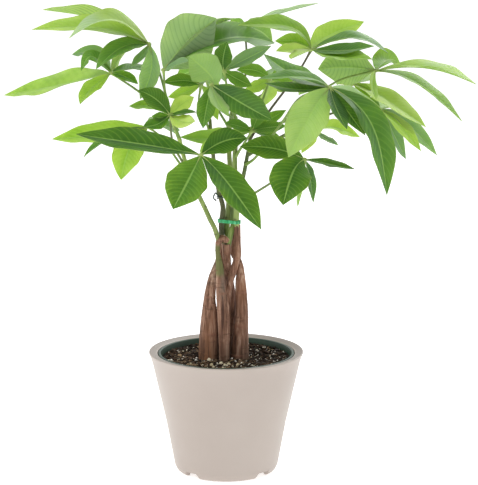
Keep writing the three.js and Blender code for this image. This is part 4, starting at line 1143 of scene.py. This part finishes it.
def trunk(index, skin):
    """A trunk: its line and radii, less shallow lengthwise furrows (sines of the turn that wander with the
    height), ring lines and a slow swell, plus a low rim round each scar. Its cut top is a dished face."""
    line, radii = stem_line(TRUNKS[index], TRUNK_ROWS)
    angle = np.linspace(0, TAU, TRUNK_SIDES, endpoint=False)
    height = line[:, 2:3]
    chance = rng.random(6) * TAU
    wander = 0.5 * np.sin(0.05 * height + chance[0]) + 0.3 * np.sin(0.13 * height + chance[1])
    furrow = 0.5 + 0.5 * np.sin(FURROWS * angle + 3 * wander + chance[2])
    fine = 0.5 + 0.5 * np.sin(FINE_FURROWS * angle - 5 * wander + chance[3])
    rings = np.sin(0.42 * height + 1.5 * np.sin(0.11 * height) + 0.6 * np.sin(angle + chance[4]))
    ring_line = np.clip(rings, 0.9, 1) - 0.9
    swell = 0.5 + 0.5 * np.sin(2 * angle + 0.03 * height + chance[5])
    scar = scar_weight(line, angle, [mark[1:] for mark in SCARS if mark[0] == index])
    depth = SWELL_SHARE * radii[:, None] * swell + FURROW_DEPTH * furrow ** 2 + FINE_DEPTH * fine ** 2
    depth = depth - RING_RISE * ring_line
    starts, full, fades, gone = [height_seen(up) for up in TRUNK_GREEN[index]]
    sap = smoothstep(starts, full, height) * (1 - smoothstep(fades, gone, height))
    bark = np.stack(np.broadcast_arrays(sap, scar, 0.0), axis=-1)
    body = rounds(line, radii[:, None] - depth + SCAR_RIM * scar, TRUNK_SIDES)
    shares, sinks, cuts = (np.array(column)[:, None] for column in zip(*CUT_FACE))
    middle = body[-1].mean(axis=0)
    face = middle + (body[-1] - middle) * shares[..., None] + unit(line[-1] - line[-2]) * sinks[..., None]
    face_bark = np.stack(np.broadcast_arrays(0.0, 0.0, cuts + 0 * angle), axis=-1)
    trunk_tube = tube(np.concatenate([body, face]), bark=np.concatenate([bark, face_bark]))
    return write_piece(f"trunk_{index + 1}_bark", [trunk_tube], [skin], [f"trunk_{index + 1}"], 55)


def shoot(index, skin):
    """A shoot: its line and radii, thicker by a low collar at each old leaf scar, the scars going round it by
    the golden angle, and drawn in to a blunt bud at its tip."""
    line, radii = stem_line(SHOOTS[index], SHOOT_ROWS)
    angle = np.linspace(0, TAU, SHOOT_SIDES, endpoint=False)
    base, top = SHOOTS[index][0][1] + 8, SHOOTS[index][-1][1] - 4
    count = max(int((top - base) / SCAR_SPACING), 2)
    step = np.arange(count)
    ups = base + (top - base) * (step + 0.25 * rng.random(count)) / count
    scar_turns = (step * GOLDEN_TURN + 360 * rng.random()) % 360
    scar = scar_weight(line, angle, np.stack([ups, scar_turns, np.full(count, SCAR_SIZE)], axis=1))
    wobble = 0.06 * np.sin(3 * angle + 0.2 * line[:, 2:3]) - 0.05
    share = np.linspace(0, 1, len(line))[:, None]
    foot_brown, top_brown, foot_painted_shade, top_painted_shade = SHOOT_BROWN[index]
    brown = foot_brown + (top_brown - foot_brown) * share
    # Painted shade along the shoot, from its foot to its top
    dark = foot_painted_shade + (top_painted_shade - foot_painted_shade) * smoothstep(0.12, 0.32, share)
    bark = np.stack(np.broadcast_arrays(brown, scar, dark), axis=-1)
    body = rounds(line, radii[:, None] * (1 + wobble) + COLLAR * scar, SHOOT_SIDES)
    shares, rises = (np.array(column)[:, None, None] for column in zip(*BUD))
    middle = body[-1].mean(axis=0)
    bud = middle + (body[-1] - middle) * shares + unit(line[-1] - line[-2]) * rises
    bark = np.concatenate([bark, np.repeat(bark[-1:], len(BUD), axis=0)])
    stem = tube(np.concatenate([body, bud]), bark=bark)
    return write_piece(f"shoot_{index + 1}_stem", [stem], [skin], [f"shoot_{index + 1}"], 55)


# Ties

def green_tie(skin):
    """The stretch tie: a thin band whose inside follows the outline round four stems (for each direction, the
    stem that reaches furthest that way), its height wavering and its edges rounded."""
    angle = np.linspace(0, TAU, 160, endpoint=False)
    ways = np.stack([np.cos(angle), np.sin(angle)], axis=1)
    hearts = np.array([on_shoot(index, TIE_UP)[:2] for index, _ in TIE_STEMS])
    radii = np.array([radius for _, radius in TIE_STEMS])
    furthest = np.argmax(ways @ hearts.T + radii, axis=1)
    core = hearts[furthest] + ways * radii[furthest][:, None]
    core = (np.roll(core, 1, axis=0) + 2 * core + np.roll(core, -1, axis=0)) / 4
    turn = np.linspace(0, TAU, TIE_SIDES, endpoint=False)
    squared_cos = np.sign(np.cos(turn)) * np.abs(np.cos(turn)) ** TIE_SQUARENESS
    squared_sin = np.sign(np.sin(turn)) * np.abs(np.sin(turn)) ** TIE_SQUARENESS
    thick = GAP + TIE_THICKNESS / 2 * (1 + squared_cos)
    rise = squared_sin * (TIE_HEIGHT / 2 - TIE_WAVER)
    waver = 0.22 * np.sin(5 * angle + 0.7) + 0.15 * np.sin(11 * angle)
    creases = 0.12 * np.sin(23 * angle)
    flat = core[None] + ways[None] * (thick[:, None, None] + creases[None, :, None])
    high = height_seen(TIE_UP) + rise[:, None] + waver[None]
    rings = np.concatenate([flat, high[..., None]], axis=-1).transpose(1, 0, 2)
    quads = grid_quads(len(rings) + 1, TIE_SIDES, True) % (len(rings) * TIE_SIDES)
    return write_piece("stretch_tie", [shell(rings.reshape(-1, 3), quads)], [skin], ["green_tie"], 60)


def twist_tie(skin):
    """The wire: a coil of most of one turn round its shoot, climbing a little, then a smooth run out over the
    tail's places, as a round tube with a slight twist ridge."""
    heart = on_shoot(WIRE_STEM, WIRE_UP)
    loop = WIRE_STEM_RADIUS + GAP + WIRE_RADIUS + WIRE_SLACK
    step = np.arange(WIRE_POINTS)
    angle = WIRE_START + WIRE_TURN * step / (WIRE_POINTS - 1)
    coil = np.stack([loop * np.sin(angle), loop * np.cos(angle), step * WIRE_RISE], axis=1) + heart
    line = smooth_line(np.vstack([coil, seen(WIRE_TAIL)]), WIRE_ROWS)
    turn = np.linspace(0, TAU, WIRE_SIDES, endpoint=False)
    ridge = 0.09 * np.cos(2 * (turn[None] - np.arange(WIRE_ROWS)[:, None] * 0.35))
    ended, radii = rounded_ends(line, np.full(WIRE_ROWS, WIRE_RADIUS - 0.05))
    spread = radii[:, None] * (1 + np.pad(ridge, ((END_RINGS, END_RINGS), (0, 0)), mode="edge"))
    wire = tube(rounds(ended, spread, WIRE_SIDES))
    return write_piece("wire_tie", [wire], [skin], ["twist_tie"], 60)


# Pots

def outer_pot(skin):
    """The outer pot: its rounded profile turned about the axis. At four notches the foot is lifted: a point
    below the notch's height H goes from z to z + notch (H - z), and outside the foot ring it moves out to the
    wall there."""
    lip = POT_HEIGHT - RIM_DROP
    under = POT_FLOOR - FLOOR_THICKNESS
    wall = np.array(POT_WALL_LINE, dtype=float)
    below = wall[-1] + (wall[-2] - wall[-1]) * FLARE_START
    bulge = wall[-1] + FLARE_BULGE
    rim = np.array([POT_RIM, POT_HEIGHT - RIM_BAND])
    t = np.linspace(0, 1, FLARE_POINTS)[:, None]
    flare = below * (1 - t) ** 2 + 2 * bulge * t * (1 - t) + rim * t ** 2
    profile = rounded([
        [0, under], [POT_FOOT - FOOT_WIDTH, under], [POT_FOOT - FOOT_WIDTH, 0], [POT_FOOT, 0],
        [POT_FOOT + FOOT_FLARE, FOOT_STEP], *wall[:-1].tolist(), *flare.tolist(),
        [POT_RIM, POT_HEIGHT - RIM_EDGE], [POT_RIM - RIM_EDGE, POT_HEIGHT], [POT_MOUTH, lip],
        [POT_MOUTH, lip - RIM_THICKNESS], *(wall[:0:-1] - [POT_WALL, 0]).tolist(),
        [POT_FOOT + FOOT_WIDTH, POT_FLOOR], [0, POT_FLOOR]], POT_ROUNDING, 4)
    low = profile[:, 1] < POT_FLOOR - 2.5
    low &= np.arange(len(profile)) < len(profile) // 2
    body = revolve(profile, POT_SIDES)
    ring = body["points"][:-2].reshape(-1, POT_SIDES, 3)
    angle = np.linspace(0, TAU, POT_SIDES, endpoint=False)
    spacing = TAU / NOTCHES
    apart = np.abs((angle - (NOTCH_TURN - math.pi / 2) + spacing / 2) % spacing - spacing / 2)
    within, beyond = NOTCH_WIDTH / 2 - NOTCH_EASE_IN, NOTCH_WIDTH / 2 + NOTCH_EASE_OUT
    notch = 1 - smoothstep(within, beyond, apart * POT_FOOT)
    rows = np.nonzero(low[1:-1])[0]
    radius, height = profile[1:-1][rows].T[..., None]
    lifted = height + notch * (NOTCH_HEIGHT - height) * (height < NOTCH_HEIGHT)
    wall_there = np.interp(lifted, wall[:, 1], wall[:, 0])
    wall_there = wall_there - NOTCH_SINK * (NOTCH_HEIGHT - height) / NOTCH_HEIGHT
    outside = radius > POT_FOOT - FOOT_RING
    moved = np.where(outside, radius + notch * (wall_there - radius), radius)
    ring[rows] = np.stack([moved * np.cos(angle), moved * np.sin(angle), lifted], axis=-1)
    return write_piece("outer_pot_shell", [body], [skin], ["outer_pot"], 50)


def grow_pot(skin):
    """The nursery pot: its rounded profile turned about the axis, with drain holes bored by a Boolean."""
    lip = LINER_TOP - LIP_DROP
    inner = LINER_RADIUS - LINER_WALL
    floor = LINER_BOTTOM + LINER_WALL
    profile = rounded([
        [0, LINER_BOTTOM], [LINER_FLOOR_RADIUS, LINER_BOTTOM], [LINER_RADIUS - 0.2, lip - 0.4],
        [LINER_LIP, lip], [LINER_LIP, LINER_TOP], [inner, LINER_TOP], [inner - 0.9, lip - 1],
        [LINER_FLOOR_RADIUS - LINER_WALL, floor], [0, floor]], LINER_ROUNDING, 3)
    body = revolve(profile, LINER_SIDES)
    pot = write_piece("grow_pot_shell", [body], [skin], ["grow_pot"], 50)
    turn = np.arange(DRAINS) * TAU / DRAINS
    side = np.linspace(0, TAU, DRAIN_SIDES, endpoint=False)
    disc = DRAIN_RADIUS * np.stack([np.cos(side), np.sin(side), 0 * side], axis=1)
    hearts = DRAIN_CIRCLE * np.stack([np.cos(turn), np.sin(turn), 0 * turn], axis=1) + LINER_BOTTOM * SKY
    reach = DRAIN_REACH * SKY
    bores = [tube(np.stack([disc + heart - reach, disc + heart + reach])) for heart in hearts]
    cutter = write_piece("drain_bores", bores, [skin])
    modifier = pot.modifiers.new("drains", "BOOLEAN")
    modifier.operation = "DIFFERENCE"
    modifier.object = cutter
    modifier.solver = "EXACT"
    bored = bpy.data.meshes.new_from_object(pot.evaluated_get(bpy.context.evaluated_depsgraph_get()))
    pot.modifiers.clear()
    pot.data = bored
    bpy.data.objects.remove(cutter)
    return pot


# Potting mix

def soil_height(x, y):
    """The mix's surface: the filling line, with a low mound in the middle and a shallow ring round it, both
    bells of the radius, and lumps as products of sines that grow lower by EDGE_CALM towards the wall."""
    radius = np.hypot(x, y) / SOIL_EDGE
    mound = MOUND_HEIGHT * np.exp(-(radius / MOUND_WIDTH) ** 2)
    ring = RING_DEPTH * np.exp(-((radius - RING_PLACE) / RING_WIDTH) ** 2)
    lumps = np.sin(0.31 * x + 1.1 * np.sin(0.17 * y)) * np.sin(0.27 * y + 0.9 * np.sin(0.21 * x))
    small = np.sin(1.1 * x + 2 * np.sin(0.4 * y)) * np.sin(1.3 * y + 1.5 * np.sin(0.5 * x))
    lift = LUMP_HEIGHT * lumps + SMALL_LUMP_HEIGHT * small
    return SOIL_TOP + mound - ring + lift * (1 - EDGE_CALM * radius ** 4)


def soil(skin):
    """The mix: rings from the middle to the wall on its height, then down the liner's taper to its floor."""
    radius = np.linspace(SOIL_HOLE, SOIL_EDGE, CRUST_ROWS)[:, None]
    angle = np.linspace(0, TAU, SOIL_SIDES, endpoint=False)[None, :]
    x, y = radius * np.cos(angle), radius * np.sin(angle)
    crust = np.stack([x, y, soil_height(x, y)], axis=-1)
    down = np.linspace(1, 0, SOIL_WALL_ROWS)[1:, None]
    taper = SOIL_FOOT + (SOIL_EDGE - SOIL_FOOT) * down
    edge = SOIL_BOTTOM + (crust[-1:, :, 2] - SOIL_BOTTOM) * down
    wall = np.stack([taper * np.cos(angle), taper * np.sin(angle), edge], axis=-1)
    floor = wall[-1:] * np.array([0.5, 0.5, 1])
    bed = tube(np.concatenate([crust, wall, floor]))
    return write_piece("potting_mix_bed", [bed], [skin], ["soil"], 60)


def on_the_mix(marks):
    """Places on the mix that are seen at the marks [across, up]: the line from the eye through each mark is
    followed down to the filling line, then the place is lifted or lowered to the surface itself."""
    marked = np.array([seen([across, up, 0]) for across, up in marks])
    share = (SOIL_TOP - EYE[2]) / (marked[:, 2] - EYE[2])
    flat = (EYE + (marked - EYE) * share[:, None])[:, :2]
    return np.column_stack([flat, soil_height(*flat.T)])


def lying_places(count, margin):
    """Random places on the mix, evenly spread over its disc, kept out of the trunks by half of `margin`."""
    feet = np.array([[*seen(rows[0][:3])[:2], rows[0][3]] for rows in TRUNKS])
    radius = (SOIL_EDGE - margin) * np.sqrt(rng.random(count * 3))
    angle = TAU * rng.random(count * 3)
    flat = np.stack([radius * np.cos(angle), radius * np.sin(angle)], axis=1)
    apart = np.linalg.norm(flat[:, None] - feet[None, :, :2], axis=2) - feet[:, 2]
    flat = flat[(apart > margin * 0.5).all(axis=1)][:count]
    return np.column_stack([flat, soil_height(*flat.T)])


def rough_ball():
    """The twelve corners and twenty faces of an icosahedron, its radius 1."""
    golden = (1 + math.sqrt(5)) / 2
    flat = np.array([[0, 1, golden], [0, -1, golden], [0, 1, -golden], [0, -1, -golden]])
    points = unit(np.vstack([flat, np.roll(flat, 1, axis=1), np.roll(flat, 2, axis=1)]))
    close = np.linalg.norm(points[:, None] - points[None], axis=2) < 1.1
    a, b, c = np.meshgrid(*[np.arange(12)] * 3, indexing="ij")
    near = close[a, b] & close[b, c] & close[a, c] & (a < b) & (b < c)
    faces = np.stack([a[near], b[near], c[near]], axis=1)
    way = np.einsum("ij,ij->i", points[faces[:, 0]], np.cross(points[faces[:, 1]], points[faces[:, 2]]))
    faces[way < 0] = faces[way < 0][:, ::-1]
    return points, faces


def turns(count):
    """Random turns as matrices, from unit quaternions."""
    w, x, y, z = unit(rng.normal(size=(count, 4))).T
    rows = [[1 - 2 * (y * y + z * z), 2 * (x * y - z * w), 2 * (x * z + y * w)],
            [2 * (x * y + z * w), 1 - 2 * (x * x + z * z), 2 * (y * z - x * w)],
            [2 * (x * z - y * w), 2 * (y * z + x * w), 1 - 2 * (x * x + y * y)]]
    return np.array(rows).transpose(2, 0, 1)


def flat_turns(count):
    """Random turns about the upright, with a tilt of up to about 35 degrees."""
    spin, tilt, way = TAU * rng.random(count), 0.6 * rng.random(count), TAU * rng.random(count)
    c, s, zero, one = np.cos(spin), np.sin(spin), np.zeros(count), np.ones(count)
    about = np.array([[c, -s, zero], [s, c, zero], [zero, zero, one]]).transpose(2, 0, 1)
    x, y = np.cos(way), np.sin(way)
    cross = np.array([[zero, zero, y], [zero, zero, -x], [-y, x, zero]]).transpose(2, 0, 1)
    bent, straight = np.sin(tilt)[:, None, None], 1 - np.cos(tilt)[:, None, None]
    return (np.eye(3) + bent * cross + straight * (cross @ cross)) @ about


def scatter(name, skin, places, sizes, squash, jitter, sink):
    """Small bits of the mix: an icosahedron each, its corners drawn in and out by `jitter`, scaled on three
    axes, turned at random and sunk by a share of its size."""
    points, faces = rough_ball()
    count = len(places)
    scale = sizes[:, None] * squash * (1 + 0.25 * (rng.random((count, 3)) - 0.5))
    corner = points[None] * (1 + jitter * (rng.random((count, len(points), 1)) - 0.5)) * scale[:, None]
    turned = turns(count) if squash[2] == squash[0] else flat_turns(count)
    spun = np.einsum("nij,nkj->nki", turned, corner)
    centres = places + SKY * (scale[:, 2:] * (1 - 2 * sink))
    spun = spun + centres[:, None]
    tris = (faces[None] + len(points) * np.arange(count)[:, None, None]).reshape(-1, 3)
    bit = np.repeat(rng.random((count, 3)), len(points), axis=0)
    quads = np.zeros((0, 4), dtype=int)
    return write_piece(name, [shell(spun.reshape(-1, 3), quads, tris, bit=bit)], [skin], (), 30)


def fine_roots(skin):
    """Roots and fibres: short tubes that arch over the mix, each a gentle random curve."""
    places = lying_places(ROOTS, 6)
    count = len(places)
    way = TAU * rng.random(count)
    reach = rng.uniform(*ROOT_REACHES, count)
    bend = rng.normal(0, ROOT_BEND, count)
    t = np.linspace(-1, 1, ROOT_ROWS)
    bodies = []
    for (x, y, _), turn, long, bent in zip(places, way, reach, bend):
        aside = bent * long * (t * t - 0.4)
        x = x + long * t * math.cos(turn) - aside * math.sin(turn)
        y = y + long * t * math.sin(turn) + aside * math.cos(turn)
        high = soil_height(x, y) + 0.25 + ROOT_ARCH * (1 - t * t)
        inside = min(1.0, (SOIL_EDGE - 1.5) / np.hypot(x, y).max())
        line = np.stack([x * inside, y * inside, high], axis=1)
        radii = np.linspace(*ROOT_RADII, ROOT_ROWS)
        bodies.append(tube(rounds(line, radii, ROOT_SIDES), bit=np.full((ROOT_ROWS, 3), turn % 1.0)))
    return write_piece("fine_roots", bodies, [skin], (), 60)


def loose_bits():
    """Perlite, bark chips, pebbles, crumbs and roots that lie on the mix."""
    finishes = [speckled_finish(*row) for row in (
        ("perlite", PERLITE_WHITES, 0.8), ("bark_chips", CHIP_BROWNS, 0.85), ("pebbles", PEBBLE_TANS, 0.6),
        ("crumbs", CRUMB_BROWNS, 0.9), ("roots", ROOT_TANS, 0.8))]
    perlite, chip, pebble, crumb, root = finishes
    places = lying_places(330, 2.5)
    scatter("perlite_grains", perlite, places, rng.uniform(0.35, 1.3, len(places)) ** 1.3, BALL, 0.8, 0.3)
    places = lying_places(230, 5)
    scatter("bark_flakes", chip, places, rng.uniform(1.4, 5.0, len(places)), FLAKE, 0.4, 0.2)
    places = lying_places(900, 2.5)
    scatter("mix_crumbs", crumb, places, rng.uniform(0.6, 2.0, len(places)), BALL, 0.6, 0.35)
    places = on_the_mix([mark[:2] for mark in PEBBLES])
    scatter("pebble_group", pebble, places, np.array([mark[2] for mark in PEBBLES]), BALL, 0.3, 0.2)
    fine_roots(root)


# Studio

def surroundings():
    """White walls all round: their light times a share that falls overhead, times one that falls in front."""
    world = bpy.data.worlds.new("studio")
    world.use_nodes = True
    nodes, links = world.node_tree.nodes, world.node_tree.links
    way = nodes.new("ShaderNodeTexCoord")
    split = nodes.new("ShaderNodeSeparateXYZ")
    links.new(way.outputs["Generated"], split.inputs[0])
    both = nodes.new("ShaderNodeMath")
    both.operation = "MULTIPLY"
    for socket, (axis, *values) in zip(both.inputs, LIGHT_SHARES):
        share = nodes.new("ShaderNodeMapRange")
        share.interpolation_type = "SMOOTHSTEP"
        links.new(split.outputs[axis], share.inputs["Value"])
        for part, value in zip(("From Min", "From Max", "To Min", "To Max"), values):
            share.inputs[part].default_value = value
        links.new(share.outputs[0], socket)
    links.new(both.outputs[0], nodes["Background"].inputs["Strength"])
    nodes["Background"].inputs["Color"].default_value = (1.0, 1.0, 1.0, 1.0)
    return world


def studio():
    """A pale floor out of sight at its edges, lit from within a little like a light table, white surroundings
    that darken overhead, and soft lights."""
    near, far = -FLOOR_HALF, FLOOR_HALF
    mesh = bpy.data.meshes.new("floor")
    mesh.from_pydata([(near, near, 0), (far, near, 0), (far, far, 0), (near, far, 0)], [], [(0, 1, 2, 3)])
    mesh.materials.append(floor_finish())
    floor = bpy.data.objects.new("floor", mesh)
    bpy.context.scene.collection.objects.link(floor)
    bpy.context.scene.world = surroundings()
    for name, place, size, power in LAMPS:
        light = bpy.data.lights.new(name, "AREA")
        light.shape = "DISK"
        light.size = size
        light.energy = power
        lamp = bpy.data.objects.new(name, light)
        lamp.location = place
        lamp.rotation_euler = (mathutils.Vector(LAMP_AIM) - lamp.location).to_track_quat("-Z", "Y").to_euler()
        bpy.context.scene.collection.objects.link(lamp)
    bpy.context.scene.view_settings.view_transform = "Standard"


def camera():
    """The photograph's view: from EYE to AIM, with the lens that makes a millimetre there one dot of the
    picture, whose long side is its height."""
    lens = bpy.data.cameras.new("photo_view")
    lens.sensor_width = SENSOR
    lens.lens = SENSOR * float(np.linalg.norm(AIM - EYE)) / PICTURE[1]
    lens.clip_end = 200
    view = bpy.data.objects.new("photo_view", lens)
    view.location = EYE * MM
    view.rotation_euler = mathutils.Vector(LOOK).to_track_quat("-Z", "Y").to_euler()
    bpy.context.scene.collection.objects.link(view)
    bpy.context.scene.camera = view


camera()
studio()

outer_pot(outer_pot_finish())
grow_pot(grow_pot_finish())
soil(soil_finish())
loose_bits()

bark = bark_finish()
for number in range(len(TRUNKS)):
    trunk(number, bark)
stem = green_stem_finish()
for number in range(len(SHOOTS)):
    shoot(number, stem)
green_tie(tie_finish())
twist_tie(wire_finish())

leaf_skins = [leaf_blade_finish(), leaf_stalk_finish()]
for number, leaf_row in enumerate(LEAVES):
    leaf(number, leaf_row, leaf_skins)
